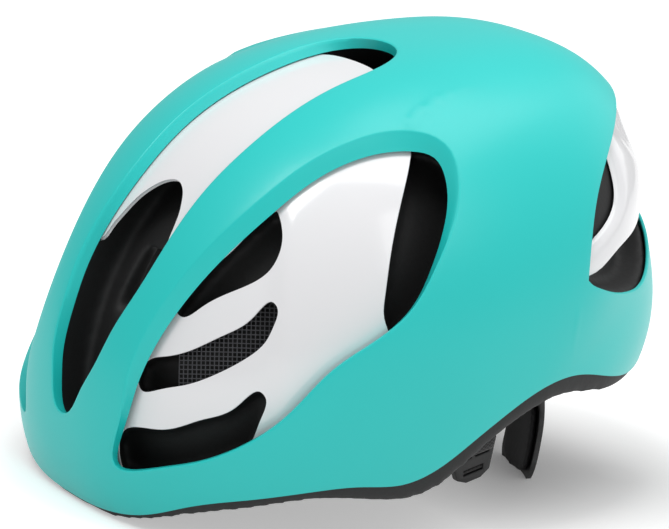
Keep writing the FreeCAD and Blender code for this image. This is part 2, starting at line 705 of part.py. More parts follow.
housing = arc_about(Placement(), wall_in, wall_out, -channel, channel, 90 - half_turn, 2 * half_turn)
for low in (-channel - housing_wall, channel):
    housing = housing.fuse(
        arc_about(Placement(), cover_in, wall_out, low, low + housing_wall, 90 - half_turn, 2 * half_turn)
    )
dial_boss = Part.makeCylinder(size("boss_radius"), boss_top - wall_in, Vector(0, wall_in, 0), Y_AXIS)
dial_boss = dial_boss.common(arc_about(Placement(), wall_in, 200, -20, 20, 60, 60))
housing = housing.fuse(dial_boss)
screw_posts = []
screw_bars = []
for turn in (-screw_turn, screw_turn):
    way = Rotation(Z_AXIS, turn).multVec(Y_AXIS)
    post = Part.makeCylinder(3.0, 20, way * (cover_out - 2), way)
    screw_posts.append(post.common(arc_about(Placement(), cover_out + 0.1, wall_in + 0.2, -9, 9, 60, 60)))
    head = Part.makeCylinder(2.6, 1.2, way * (cover_in - 1.3), way)
    shank = Part.makeCylinder(size("screw_radius"), wall_out - cover_in, way * (cover_in - 0.2), way)
    screw_bars.append(head.fuse(shank).removeSplitter())
hole_radius = size("shaft_radius") + size("shaft_gap")
shaft_hole = Part.makeCylinder(hole_radius, 20, Vector(0, wall_in - 1, 0), Y_AXIS)
housing = housing.fuse(screw_posts).cut([shaft_hole] + screw_bars).removeSplitter()
cover_half = channel - 0.2
cover = arc_about(Placement(), cover_in, cover_out, -cover_half, cover_half, 90 - half_turn, 2 * half_turn)
pilot_radius = 2.0
pilot_hole = Part.makeCylinder(pilot_radius + size("shaft_gap"), 20, Vector(0, cover_in - 5, 0), Y_AXIS)
cover = cover.cut([pilot_hole] + screw_bars)


def in_frame(label, shape, frame):
    """A sub-part drawn in a frame of its own."""
    made = feature(label, shape)
    stand_pieces[-1] = (made, frame)
    return made


in_frame("dial_housing", housing, ring)
in_frame("housing_cover", cover, ring)
in_frame("housing_screws", Part.makeCompound(screw_bars), ring)

# The height strip stands on the housing and slides in the rail.
strip = arc_about(pivot, strip_radius, strip_outer, -strip_half, strip_half, -17, 25)
placed_housing = housing.copy()
placed_housing.Placement = ring.multiply(placed_housing.Placement)
strip = strip.cut([placed_housing])
strip = max(strip.Solids, key=lambda solid: solid.Volume)
feature("height_strip", strip)

# Cradle: a two-lobed shell about the ring's axis, on the cover's inner face, and a soft pad in each lobe.
CRADLE = (
    (0, 9.5), (20, 9.5), (22.5, 4), (23.5, -8), (28, -18), (35, -28), (39.5, -40), (40, -50), (35, -56),
    (26, -58), (14, -56), (9, -48), (7, -37), (0, -33),
)
CRADLE_PAD = (
    (12, -36), (17, -27), (26, -23), (32, -30), (36, -40), (36.5, -49), (25, -53), (15, -51), (12, -45),
)
cradle_wall = size("cradle_wall")
cradle_out = cover_in - 0.1
cradle_in = cradle_out - cradle_wall
pad_in = cradle_in - size("cradle_pad_wall")


def wrapped(outline_points, inner, outer, growth=0.0):
    """The part of a cylinder's wall about the ring's axis that the outline, seen from behind, covers."""
    base = Vector(0, 0, -90)
    wall = Part.makeCylinder(outer, 160, base).cut(Part.makeCylinder(inner, 160, base))
    return wall.common(prism(outline_points, rear_plane, -120, 0, growth))


def above_stand(shape, frame):
    """The shape in level places, cut off at the plane that the helmet stands on."""
    placed = shape.copy()
    placed.Placement = frame.multiply(placed.Placement)
    return placed.cut(under_stand)


cradle = wrapped(two_sided(CRADLE), cradle_in, cradle_out)
for way in (-screw_turn, screw_turn):
    way_out = Rotation(Z_AXIS, way).multVec(Y_AXIS)
    cradle = cradle.cut(Part.makeCylinder(3.0, 12, way_out * (cradle_in - 4), way_out))
cradle = cradle.cut(Part.makeCylinder(3.0, 12, Vector(0, cradle_in - 4, 0), Y_AXIS))
feature("cradle", above_stand(cradle, ring))
pads = []
for points in (CRADLE_PAD, [(-x, z) for x, z in CRADLE_PAD]):
    pads += above_stand(wrapped(points, pad_in, cradle_in), ring).Solids
feature("cradle_pads", Part.makeCompound(pads))

# Dial: a pinion on its shaft, a knob and a rubber grip round it.
pinion = new_body("drive_pinion", dial_frame)
blank = sketch_on(pinion, "XY_Plane", Placement(Vector(0, 0, -arm_half), Rotation()))
circle(blank, "0", "0", "sizes.gear_module * (sizes.gear_teeth / 2 - 1.1)")
step_feature(pinion, "Pad", blank, Length="sizes.arm_wall")
doc.recompute()
tooth_profile = sketch_on(pinion, "XY_Plane", Placement(Vector(0, 0, -arm_half), Rotation()))
gear_root = "sizes.gear_module * (sizes.gear_teeth / 2 - 1.4)"
gear_pitch = "sizes.gear_module * sizes.gear_teeth / 2"
gear_tip = "sizes.gear_module * (sizes.gear_teeth / 2 + 0.75)"
half_foot, half_pitch, half_tip = [
    "sizes.gear_module * %s" % width for width in (0.8, 0.68, 0.33)
]
outline(
    tooth_profile,
    (
        ("-" + half_foot, gear_root), (half_foot, gear_root), (half_pitch, gear_pitch), (half_tip, gear_tip),
        ("-" + half_tip, gear_tip), ("-" + half_pitch, gear_pitch),
    ),
)
gear_tooth = step_feature(pinion, "Pad", tooth_profile, Length="sizes.arm_wall")
doc.recompute()
gear_teeth = pinion.newObject("PartDesign::PolarPattern", "pinion_teeth")
gear_teeth.Originals = [gear_tooth]
gear_teeth.Axis = (tooth_profile, ["N_Axis"])
gear_teeth.Angle = 360
gear_teeth.setExpression("Occurrences", "sizes.gear_teeth")
pinion.Tip = gear_teeth
doc.recompute()
knob_low = boss_top - arm_radius + 0.3
knob_high = knob_low + size("dial_height")
for low, length, radius in (
    (arm_half, knob_high - 1.0 - arm_half, "sizes.shaft_radius"),
    (cover_in - arm_radius, -arm_half - (cover_in - arm_radius), str(pilot_radius)),
):
    profile = sketch_on(pinion, "XY_Plane", Placement(Vector(0, 0, low), Rotation()))
    circle(profile, "0", "0", radius)
    journal = step_feature(pinion, "Pad", profile)
    journal.Length = length
    doc.recompute()

knob = new_body("dial_knob", dial_frame)
disc = sketch_on(knob, "XY_Plane", Placement(Vector(0, 0, knob_low), Rotation()))
circle(disc, "0", "0", "sizes.dial_radius - sizes.grip_wall")
step_feature(knob, "Pad", disc, Length="sizes.dial_height")
doc.recompute()
bore = sketch_on(knob, "XY_Plane", Placement(Vector(0, 0, knob_low), Rotation()))
circle(bore, "0", "0", "sizes.shaft_radius")
bored_knob = step_feature(knob, "Pocket", bore, Length="sizes.dial_height - 1")
bored_knob.Reversed = True
doc.recompute()

grip = new_body("dial_grip", dial_frame)
tyre = sketch_on(grip, "XY_Plane", Placement(Vector(0, 0, knob_low + 0.4), Rotation()))
circle(tyre, "0", "0", "sizes.dial_radius")
circle(tyre, "0", "0", "sizes.dial_radius - sizes.grip_wall")
step_feature(grip, "Pad", tyre, Length="sizes.dial_height - 0.8")
doc.recompute()
scallop = sketch_on(grip, "XY_Plane", Placement(Vector(0, 0, knob_low + 0.4), Rotation()))
circle(scallop, "0", "sizes.dial_radius + 1.1", "2.2")
dent = step_feature(grip, "Pocket", scallop, Length="sizes.dial_height")
dent.Reversed = True
doc.recompute()
dents = grip.newObject("PartDesign::PolarPattern", "grip_scallops")
dents.Originals = [dent]
dents.Axis = (scallop, ["N_Axis"])
dents.Angle = 360
dents.setExpression("Occurrences", "sizes.scallops")
grip.Tip = dents
doc.recompute()

# ---------------------------------------------------------------- straps and buckle

strap_wall = size("strap_wall")
strap_half = size("strap_width") / 2


def ribbon(points, middle_y):
    """Webbing on edge along a route of (across, up) places: straight runs joined by tangent arcs."""
    places = [Vector(x, 0, z) for x, z in points]
    edges = []
    last = places[0]
    for before, corner, after in zip(places, places[1:], places[2:]):
        inward = (before - corner).normalize()
        onward = (after - corner).normalize()
        half = (math.pi - inward.getAngle(onward)) / 2
        setback = 0.42 * min((before - corner).Length, (after - corner).Length)
        radius = setback / math.tan(half)
        enter = corner + inward * setback
        leave = corner + onward * setback
        centre = corner + (inward + onward).normalize() * (radius / math.cos(half))
        middle = centre + (corner - centre).normalize() * radius
        edges.append(Part.makeLine(last, enter))
        edges.append(Part.Arc(enter, middle, leave).toShape())
        last = leave
    edges.append(Part.makeLine(last, places[-1]))
    # The strip between the route and its parallel, one wall away, is the webbing seen on edge.
    strip_face = Part.Wire(edges).makeOffset2D(strap_wall, 0, True, True)
    web_solid = strip_face.extrude(Vector(0, 2 * strap_half, 0))
    return web_solid.translated(Vector(0, middle_y - strap_half, 0))


divider_x = size("divider_x")
divider_z = size("divider_height")
strap_y = size("strap_y")
buckle_z = size("buckle_height")
half_buckle = size("buckle_length") / 2
strap_in = divider_x - 4.1


def divider(label, side):
    """A strap divider: a small plate with a slot for each web."""
    body = new_body(label, Placement(Vector(side * (divider_x - 2), strap_y, divider_z), Rotation()))
    plate = sketch_on(body, "YZ_Plane")
    outline(plate, (("-13", "8"), ("-9", "-6"), ("-4", "-8.5"), ("4", "-8.5"), ("9", "-6"), ("13", "8")))
    pad = step_feature(body, "Pad", plate)
    pad.Length = 3.0
    pad.Midplane = True
    doc.recompute()
    slots = sketch_on(body, "YZ_Plane")
    rectangle(slots, "-9", "-1", "2", "4.4")
    rectangle(slots, "1", "9", "2", "4.4")
    rectangle(slots, "-5.5", "5.5", "-5", "-2.6")
    cut = step_feature(body, "Pocket", slots)
    cut.Length = 8.0
    cut.Midplane = True
    doc.recompute()
    return body


divider("strap_divider_left", 1)
divider("strap_divider_right", -1)


def web(start, end, half):
    """A straight web on edge between two places."""
    run = end - start
    piece = Part.makeBox(strap_wall, 2 * half, run.Length, Vector(-strap_wall / 2, -half, 0))
    frame = Placement(start, Rotation(X_AXIS, Vector(), run, "ZXY"))
    piece.Placement = frame
    return piece


anchor_z = size("anchor_height")
for name, place, lean in (("front", size("front_anchor_y"), -5), ("rear", size("rear_anchor_y"), 5)):
    for side_name, side in (("left", 1), ("right", -1)):
        top = Vector(side * (64.0 - strap_wall / 2 - 0.1), place, anchor_z + 4)
        low_end = Vector(side * (divider_x + 0.4), strap_y + lean, divider_z + 9)
        feature("%s_strap_%s" % (name, side_name), web(top, low_end, 5.5))

strap_foot = (strap_in, divider_z - 4)
left_route = (strap_foot, (strap_in + 1, 52), (strap_in, 84), (45, 112), (half_buckle + 1, buckle_z))
right_turn = (57, buckle_z)
right_route = (strap_foot, (strap_in + 1, 48), (strap_in + 1, 90), right_turn, (half_buckle - 8, buckle_z))
feature("chin_strap_left", ribbon(left_route, strap_y))
feature("chin_strap_right", mirrored(ribbon(right_route, strap_y)))

# Buckle: a socket on the left strap and a prong on the right one, which slides on its web.
buckle_wall = size("buckle_wall")
buckle_frame = Placement(Vector(0, strap_y, buckle_z - strap_wall / 2), Rotation())
socket = new_body("buckle_socket", buckle_frame)
block = sketch_on(socket, "XY_Plane", Placement(Vector(0, 0, -buckle_wall / 2), Rotation()))
outline(
    block,
    (
        ("-sizes.buckle_length / 2", "-sizes.buckle_width / 2"), ("7", "-sizes.buckle_width / 2"),
        ("sizes.buckle_length / 2", "-9"), ("sizes.buckle_length / 2", "9"), ("7", "sizes.buckle_width / 2"),
        ("-sizes.buckle_length / 2", "sizes.buckle_width / 2"),
    ),
)
step_feature(socket, "Pad", block, Length="sizes.buckle_wall")
doc.recompute()
room = sketch_on(socket, "XZ_Plane")
rectangle(room, "-sizes.buckle_length / 2 - 1", "sizes.buckle_length / 2 - 4", "-2.3", "2.3")
hollow = step_feature(socket, "Pocket", room, Length="sizes.buckle_width - 4")
hollow.Midplane = True
doc.recompute()
windows = sketch_on(socket, "XY_Plane")
rectangle(windows, "-6", "4", "-sizes.buckle_width / 2 - 1", "-sizes.buckle_width / 2 + 3.5")
rectangle(windows, "-6", "4", "sizes.buckle_width / 2 - 3.5", "sizes.buckle_width / 2 + 1")
opened = step_feature(socket, "Pocket", windows)
opened.Length = 4.2
opened.Midplane = True
doc.recompute()

prong = new_body("buckle_prong", buckle_frame)
yoke = sketch_on(prong, "XY_Plane", Placement(Vector(0, 0, -1.9), Rotation()))
outline(
    yoke,
    (
        ("-26", "-10.5"), ("-15", "-12"), ("-14.3", "-12"), ("-14.3", "-9.6"), ("5", "-9.6"), ("5", "-6.4"),
        ("-14.3", "-6.4"), ("-14.3", "6.4"), ("5", "6.4"), ("5", "9.6"), ("-14.3", "9.6"), ("-14.3", "12"),
        ("-15", "12"), ("-26", "10.5"),
    ),
)
stem = step_feature(prong, "Pad", yoke)
stem.Length = 3.8
doc.recompute()
web_slot = sketch_on(prong, "YZ_Plane", Placement(Vector(0, 0, -30), Rotation()))
rectangle(
    web_slot, "-sizes.strap_width / 2 - 0.3", "sizes.strap_width / 2 + 0.3", "-sizes.strap_wall / 2 - 0.3",
    "sizes.strap_wall / 2 + 0.3",
)
threaded = step_feature(prong, "Pocket", web_slot)
threaded.Length = 40
threaded.Reversed = True
doc.recompute()

web_room = (strap_wall / 2 + 0.25, strap_half + 0.2, 4)
keeper = box((-2.2, -strap_half - 1.8, -3), (2.2, strap_half + 1.8, 3)).cut(
    box([-span for span in web_room], web_room)
)
keeper_place = Vector(-strap_in - 1 + strap_wall / 2 + 0.1, strap_y, 70)
in_frame("strap_keeper", keeper, Placement(keeper_place, Rotation()))
# The chin pad lies under the left strap's last run, at that run's own slope.
run_start, run_end = left_route[-2], left_route[-1]
slope = Rotation(Y_AXIS, math.degrees(math.atan2(run_end[1] - run_start[1], run_start[0] - run_end[0])))
middle = Vector(run_start[0] * 0.35 + run_end[0] * 0.65, strap_y, run_start[1] * 0.35 + run_end[1] * 0.65)
chin_pad = box((-8, -9.5, -strap_wall - 3.2), (8, 9.5, -strap_wall - 0.2))
in_frame("chin_pad", chin_pad, Placement(middle, slope))

# ---------------------------------------------------------------- stand and hand out

feature("foam_liner", liner)
doc.recompute()
turned = Placement(Vector(0, 0, 0), stand_turn)
reach_y = []
for piece, frame in stand_pieces:
    if piece.Label in ("outer_shell", "foam_liner"):
        reach_y += [turned.multVec(corner).y for corner in piece.Shape.tessellate(0.3)[0]]
floor = turned.multVec(Vector(0, size("stand_nose_y"), size("stand_nose_height"))).z
stand = Placement(Vector(0, -(min(reach_y) + max(reach_y)) / 2, -floor), stand_turn)
for piece, frame in stand_pieces:
    piece.Placement = stand.multiply(frame)
doc.recompute()
print("stand: y %.4f, z %.4f, turn %.5f" % (stand.Base.y, stand.Base.z, math.degrees(stand_turn.Angle)))

for made in doc.Objects:
    if any(state in ("Invalid", "Error") for state in made.State):
        raise RuntimeError("%s failed: %s" % (made.Label, made.State))
for piece, frame in stand_pieces:
    shape = piece.Shape
    if shape.isNull() or not shape.isValid() or not shape.Solids:
        raise RuntimeError("%s has no valid solid" % piece.Label)
    shape.exportStep("parts/%s.step" % piece.Label)
print(len(stand_pieces), "sub-parts")
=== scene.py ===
"""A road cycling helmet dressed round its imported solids: shell, panels, foam, pads, straps and fit system."""
import json
import math

import bmesh
import bpy
import numpy as np
from mathutils import Matrix, Vector
from mathutils.geometry import delaunay_2d_cdt


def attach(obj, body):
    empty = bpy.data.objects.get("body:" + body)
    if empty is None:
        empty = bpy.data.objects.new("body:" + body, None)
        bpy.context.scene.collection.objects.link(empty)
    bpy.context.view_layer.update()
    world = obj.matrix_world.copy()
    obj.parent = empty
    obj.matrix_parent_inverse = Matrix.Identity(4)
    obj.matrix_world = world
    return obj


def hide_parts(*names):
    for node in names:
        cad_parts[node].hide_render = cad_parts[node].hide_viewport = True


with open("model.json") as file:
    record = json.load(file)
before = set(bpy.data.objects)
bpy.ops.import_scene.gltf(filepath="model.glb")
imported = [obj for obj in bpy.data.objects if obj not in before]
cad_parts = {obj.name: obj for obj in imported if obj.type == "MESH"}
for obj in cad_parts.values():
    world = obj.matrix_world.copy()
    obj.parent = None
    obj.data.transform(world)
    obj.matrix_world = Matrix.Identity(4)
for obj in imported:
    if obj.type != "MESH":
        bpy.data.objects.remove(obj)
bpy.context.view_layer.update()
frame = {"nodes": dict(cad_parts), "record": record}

# ---------------------------------------------------------------- Outer shell
# The real shell is one skin of polycarbonate, 1.5 mm thick, vacuum-formed over a master and sprayed satin
# teal. It is the first thing in the mould: the foam is steamed into it. Round each vent its edge slopes in to
# the panel.

# The form, in millimetres with the helmet level: how far it reaches from its lateral axis at each angle up
# from the nose, how wide it is, and how square its sections are (across it, and out from the axis).
AXIS = np.array((0.0, 0.0, 45.0))
HALF_WIDTH = 99.0
STATIONS = (-30, 0, 30, 60, 90, 115, 140, 160, 180, 205)
REACHES = (127, 146, 141, 135.5, 132.5, 142.5, 159, 148.5, 147.5, 104)
NOSE_SQUARENESS, TAIL_SQUARENESS, CROWN_SQUARENESS = (2.5, 1.95), (2.0, 2.0), (2.9, 2.55)


def through(places, values):
    """A smooth curve through the values at the places, with no bend at its ends."""
    places, values = np.array(places, float), np.array(values, float)
    count, gaps = len(places), np.diff(places)
    slopes = np.diff(values) / gaps
    system, right = np.zeros((count, count)), np.zeros(count)
    system[0, 0] = system[-1, -1] = 1
    for i in range(1, count - 1):
        system[i, i - 1 : i + 2] = gaps[i - 1], 2 * (gaps[i - 1] + gaps[i]), gaps[i]
        right[i] = 6 * (slopes[i] - slopes[i - 1])
    bends = np.linalg.solve(system, right)

    def value(place):
        place = np.clip(place, places[0], places[-1])
        i = np.clip(np.searchsorted(places, place) - 1, 0, count - 2)
        after, before, gap = place - places[i], places[i + 1] - place, gaps[i]
        cubic = (bends[i] * before**3 + bends[i + 1] * after**3) / (6 * gap)
        straight = (values[i] / gap - bends[i] * gap / 6) * before
        return cubic + straight + (values[i + 1] / gap - bends[i + 1] * gap / 6) * after

    return value


reach_at = through(STATIONS, REACHES)


def section(y, rise, depth):
    """The form's section here, sunk by this depth: its lateral power and how full it is along the reach."""
    turn = np.arctan2(rise, -y)
    turn = np.where(turn < -math.pi / 2, turn + 2 * math.pi, turn)
    up = np.sin(turn) ** 2
    lateral, radial = [
        np.where(y < 0, nose, tail) * (1 - up) + crown * up
        for nose, tail, crown in zip(NOSE_SQUARENESS, TAIL_SQUARENESS, CROWN_SQUARENESS)
    ]
    return lateral, (np.hypot(y, rise) / (reach_at(np.degrees(turn)) - depth)) ** radial


def fullness(points, depth):
    """Under one inside the form sunk by this depth, and over one outside it."""
    x, y, rise = (points - AXIS).T
    lateral, share = section(y, rise, depth)
    return (np.abs(x) / (HALF_WIDTH - depth)) ** lateral + share


def leave(starts, ways, depth, longest=260.0, halvings=34):
    """Where lines that start inside the sunk form come out of it."""
    near, far = np.zeros(len(starts)), np.full(len(starts), longest)
    for _ in range(halvings):
        middle = (near + far) / 2
        inside = fullness(starts + middle[:, None] * ways, depth) < 1
        near, far = np.where(inside, middle, near), np.where(inside, far, middle)
    return starts + near[:, None] * ways


def smooth_line(points, step, closed=True):
    """Evenly spaced points on a smooth line through these; every column is carried along."""
    points = np.array(points, float)
    count = len(points)
    if closed:
        points = np.concatenate([points[-4:], points, points[:5]])
    along = np.concatenate([[0], np.cumsum(np.hypot(*np.diff(points[:, :2], axis=0).T))])
    start, end = (along[4], along[4 + count]) if closed else (along[0], along[-1])
    places = np.linspace(start, end, max(8, round((end - start) / step)) + 1)
    if closed:
        places = places[:-1]
    return np.column_stack([through(along, column)(places) for column in points.T])


def grown(line, growth, closed=True):
    """The flat line moved outwards from the area that it encloses."""
    if closed:
        run = np.roll(line[:, :2], -1, 0) - np.roll(line[:, :2], 1, 0)
        area = np.sum(line[:, 0] * np.roll(line[:, 1], -1) - np.roll(line[:, 0], -1) * line[:, 1])
    else:
        run, area = np.gradient(line[:, :2], axis=0), 1
    normal = np.column_stack([run[:, 1], -run[:, 0]]) / np.hypot(*run.T)[:, None]
    return line[:, :2] + normal * np.reshape(growth * np.sign(area), (-1, 1))


# Design planes: the side vent, crown vent and rear arch are drawn on these, and carried to the form along the
# plane's normal. Each has its two directions and its normal.
SIDE = np.array(((0.70711, 0.70711, 0), (-0.35355, 0.35355, 0.86603), (0.61237, -0.61237, 0.5)))
CROWN = np.array(((1, 0, 0), (0, 0.70711, 0.70711), (0, -0.70711, 0.70711)))
REAR = np.array(((1, 0, 0), (0, 0, 1), (0, 1, 0)))
REAR_START = 40


def carried(plane, flat, depth):
    """Points of a design plane, carried to the form at this depth."""
    points = flat @ plane[:2]
    points = points + ((AXIS @ plane[2]) * plane[2])
    if plane is REAR:
        points[:, 1] = REAR_START
    return leave(points, np.tile(plane[2], (len(points), 1)), depth)


SHEET_RADIUS = 140
TINY = 1e-12


def spread(points):
    """The form opened out flat round the top of the head, so that a net of triangles can be drawn on it."""
    ways = points - AXIS
    ways = ways / np.linalg.norm(ways, axis=1)[:, None]
    lean = np.arccos(np.clip(ways[:, 2], -1, 1))
    return ways[:, :2] * (SHEET_RADIUS * lean / (np.hypot(ways[:, 0], ways[:, 1]) + TINY))[:, None]


def folded(flat, depth):
    """The way back from the flat sheet to the form."""
    far = np.hypot(*flat.T) + TINY
    ways = np.column_stack([flat * (np.sin(far / SHEET_RADIUS) / far)[:, None], np.cos(far / SHEET_RADIUS)])
    return leave(np.tile(AXIS, (len(flat), 1)), ways, depth)


def within(points, loops):
    """Which flat points lie inside an odd number of the loops."""
    odd = np.zeros(len(points), bool)
    for loop in loops:
        for (ax, ay), (bx, by) in zip(loop, np.roll(loop, -1, 0)):
            if ay != by:
                spans = (points[:, 1] < ay) != (points[:, 1] < by)
                odd ^= spans & (points[:, 0] < ax + (points[:, 1] - ay) * (bx - ax) / (by - ay))
    return odd


def netted(loops, lines, step):
    """Triangles over the flat area inside the first loop and outside the others, the lines kept as edges:
    (points, triangles, sources)."""
    low, high = loops[0].min(0), loops[0].max(0)
    row_height, clearance = step * 0.866, step * 0.55
    rows = np.arange(low[1], high[1], row_height)
    columns = np.arange(low[0], high[0], step)
    grid = np.array([(x + (row % 2) * step / 2, y) for row, y in enumerate(rows) for x in columns])
    grid = grid[within(grid, loops)]
    edge_points = np.concatenate(loops + lines)
    clear = np.ones(len(grid), bool)
    for point in edge_points:
        clear &= np.abs(grid - point).max(1) > clearance
    grid = grid[clear]
    edges, first = [], 0
    for loop in loops:
        edges += [(first + i, first + (i + 1) % len(loop)) for i in range(len(loop))]
        first += len(loop)
    for line in lines:
        edges += [(first + i, first + i + 1) for i in range(len(line) - 1)]
        first += len(line)
    flat = np.concatenate([edge_points, grid])
    found = delaunay_2d_cdt([Vector(p) for p in flat], edges, [], 0, 1e-4)
    places = np.array([tuple(p) for p in found[0]])
    triangles = np.array(found[2])
    centres = places[triangles].mean(1)
    return places, triangles[within(centres, loops)], found[3]


def skin(rims, flatten, lift, top, bottom, step, under_step, lines=(), raised=None):
    """A closed skin of the form. Each rim is a row of loops that leads from its outer face round to its inner
    face; the first rim is the outline and the others are openings. Lines are creases that the net keeps."""
    points, faces, ends = [], [], []
    for rim in rims:
        count, first = len(rim[0]), len(points)
        for loop in rim:
            points.extend(loop)
        for row in range(len(rim) - 1):
            for i in range(count):
                a, b = first + row * count + i, first + row * count + (i + 1) % count
                faces.append((a, b, b + count, a + count))
        ends.append((first, first + (len(rim) - 1) * count, count))
    for side, depth, spacing in ((0, top, step), (1, bottom, under_step)):
        numbers = np.concatenate([np.arange(end[side], end[side] + end[2]) for end in ends])
        loops = [flatten(rim[-side]) for rim in rims]
        kept = [flatten(line) for line in lines] if side == 0 else []
        places, triangles, sources = netted(loops, kept, spacing)
        lifted = lift(places, depth)
        if side == 0 and raised is not None:
            lifted = raised(lifted)
        joined = []
        for place, source in enumerate(sources):
            old = [s for s in source if s < len(numbers)]
            if old:
                joined.append(numbers[old[0]])
            else:
                joined.append(len(points))
                points.append(lifted[place])
        faces += [tuple(joined[corner] for corner in triangle) for triangle in triangles]
    return np.array(points), faces


# The solids stand nose-down: the turn and the shift come from the axis that the fit arms follow. Its tilt and
# its place on the level helmet are these, in degrees and millimetres.
RING_TILT = 20
RING_CENTRE = Vector((0, 35.3, 46))
arm_joint = {joint["name"]: joint for joint in frame["record"]["behaviour"]["joints"]}["left_arm_travel"]
tilt = math.radians(RING_TILT) - math.atan2(arm_joint["axis"][1], arm_joint["axis"][2])
STAND = Matrix.Rotation(tilt, 4, "X")
STAND.translation = Vector(arm_joint["pos_m"]) - STAND.to_3x3() @ (RING_CENTRE / 1000)


def stood(points):
    """Points of the level helmet in millimetres, as they are in the frame in metres."""
    turned = np.array(points) @ np.array(STAND.to_3x3()).T / 1000
    return turned + np.array(STAND.translation)


def reworked(mesh, *steps):
    """Takes a mesh through these steps of editing."""
    work = bmesh.new()
    work.from_mesh(mesh)
    for step in steps:
        step(work)
    work.to_mesh(mesh)
    work.free()


def linked(name, data):
    """An object of the scene with this mesh, lamp or lens."""
    thing = bpy.data.objects.new(name, data)
    bpy.context.scene.collection.objects.link(thing)
    return thing


def made(name, points, faces, material):
    """An object from points already in the frame: outward faces, smooth but for its sharp edges."""
    mesh = bpy.data.meshes.new(name)
    mesh.from_pydata([tuple(point) for point in points], [], faces)
    reworked(
        mesh, lambda work: bmesh.ops.remove_doubles(work, verts=work.verts, dist=1e-6),
        lambda work: bmesh.ops.recalc_face_normals(work, faces=work.faces),
    )
    mesh.polygons.foreach_set("use_smooth", [True] * len(mesh.polygons))
    mesh.set_sharp_from_angle(angle=math.radians(38))
    mesh.materials.append(material)
    return linked(name, mesh)


def fitted(thing, body, slot, *nodes):
    """Hands a finished piece to its body, for the solids that it stands for."""
    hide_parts(*nodes)
    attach(thing, body)


def linear(code):
    """An sRGB hex colour as the renderer's linear one."""
    parts = [int(code[i : i + 2], 16) / 255 for i in (1, 3, 5)]
    return (*[p / 12.92 if p <= 0.04045 else ((p + 0.055) / 1.055) ** 2.4 for p in parts], 1)


def add(tree, kind, settings=None, links=None):
    """One node, with its settings, its inputs' values and what is linked to them."""
    node = tree.nodes.new(kind)
    for name, value in (settings or {}).items():
        if isinstance(name, str) and hasattr(node, name):
            setattr(node, name, value)
        else:
            node.inputs[name].default_value = value
    for name, source in (links or {}).items():
        tree.links.new(source, node.inputs[name])
    return node


def started(name):
    """A material with nothing in it yet, its node tree and its place on the object."""
    material = bpy.data.materials.new(name)
    material.use_nodes = True
    material.node_tree.nodes.clear()
    return material, material.node_tree, add(material.node_tree, "ShaderNodeTexCoord").outputs["Object"]


def shaded(tree, settings, links):
    """The surface that closes a material's tree."""
    shader = add(tree, "ShaderNodeBsdfPrincipled", settings, links)
    add(tree, "ShaderNodeOutputMaterial", links={"Surface": shader.outputs[0]})


def noise(tree, place, size, detail=1.0):
    """Soft random spots of about this size, in metres."""
    settings = {"Scale": 1 / size, "Detail": detail}
    return add(tree, "ShaderNodeTexNoise", settings, {"Vector": place}).outputs["Fac"]


def between(tree, low, high, value, start=0, end=1):
    """What lies between low and high as the value does between start and end."""
    settings = {"From Min": start, "From Max": end, "To Min": low, "To Max": high}
    return add(tree, "ShaderNodeMapRange", settings, {"Value": value}).outputs[0]


def bumped(tree, strength, distance, height, invert=False):
    """A surface's normal with this relief, its distance in metres."""
    settings = {"Strength": strength, "Distance": distance, "invert": invert}
    return add(tree, "ShaderNodeBump", settings, {"Height": height}).outputs[0]


def toned(tree, dark, light, share):
    """A colour between two, by this share of the second."""
    settings = {"data_type": "RGBA", 6: linear(dark), 7: linear(light)}
    return add(tree, "ShaderNodeMix", settings, {"Factor": share}).outputs[2]


# Satin lacquer on polycarbonate: a soft broad highlight, with the faint peel of sprayed paint about 2 mm
# across and a fine grain in the sheen.
satin_teal, tree, place = started("satin_teal_lacquer")
tint = toned(tree, "#1FCBC6", "#1BC6C1", noise(tree, place, 0.06))
sheen = between(tree, 0.36, 0.46, noise(tree, place, 0.0004))
peel = bumped(tree, 0.12, 0.00004, noise(tree, place, 0.002))
shaded(
    tree, {"Coat Weight": 0.15, "Coat Roughness": 0.25, "Specular IOR Level": 0.45},
    {"Base Color": tint, "Roughness": sheen, "Normal": peel},
)

# The edges. Seen from the side, the lower edge and the rear opening, as (to the rear, up).
LOWER_EDGE = (
    (-165, 28), (-140, 31), (-128, 39), (-110, 42.5), (-87, 43), (-70, 41.5), (-52, 38), (-40, 39.5),
    (-20, 47.5), (0, 55), (20, 59), (38, 57), (60, 48), (80, 39.5), (100, 35), (125, 34), (165, 34),
)
REAR_TOP = (
    (47, 95), (53, 112), (60.5, 124), (71, 133), (84, 140), (97, 144.5), (110, 146.5), (125, 145),
    (150, 134), (166, 120),
)
REAR_BOTTOM = (
    (47, 95), (50.5, 91.6), (54, 89.3), (66.5, 82.4), (82, 76), (97.5, 72.5), (110, 74), (122, 79.5),
    (140, 88), (166, 92),
)
# On the side plane, the vent, with how far its edge slopes out beyond it; and on the crown plane the crown
# vent's right half and its slope.
SIDE_VENT = (
    (-78, -14, 1.2), (-75, 0, 2), (-70, 15, 4), (-56, 41, 6), (-39, 62, 6.5), (-19, 82, 6.5), (-3, 96, 6.5),
    (11, 104, 7), (29, 108.5, 7.5), (38, 107, 6.5), (43, 98, 5), (43, 80, 3.4), (38.5, 63, 2), (31, 47, 1.2),
    (20, 36, 1), (3, 23, 1), (-13, 6, 1), (-28, -5, 1), (-45, -12, 1), (-62, -15, 1),
)
CROWN_VENT = (
    (2.5, -55, 0.8), (8, -46, 1), (11.5, -36, 1.5), (14.5, -19, 2), (17, -5, 2.4), (18.5, 22, 2.6),
    (18.8, 44, 2.6), (19.8, 67, 2.6), (19.3, 92, 2.6), (18.5, 111, 2.8), (16.5, 126, 3), (11, 134, 3),
)
SHELL_WALL = 1.5
RIM_DEPTH = 4.6
FINE_STEP = 0.25
MIDDLE_REACH = 25


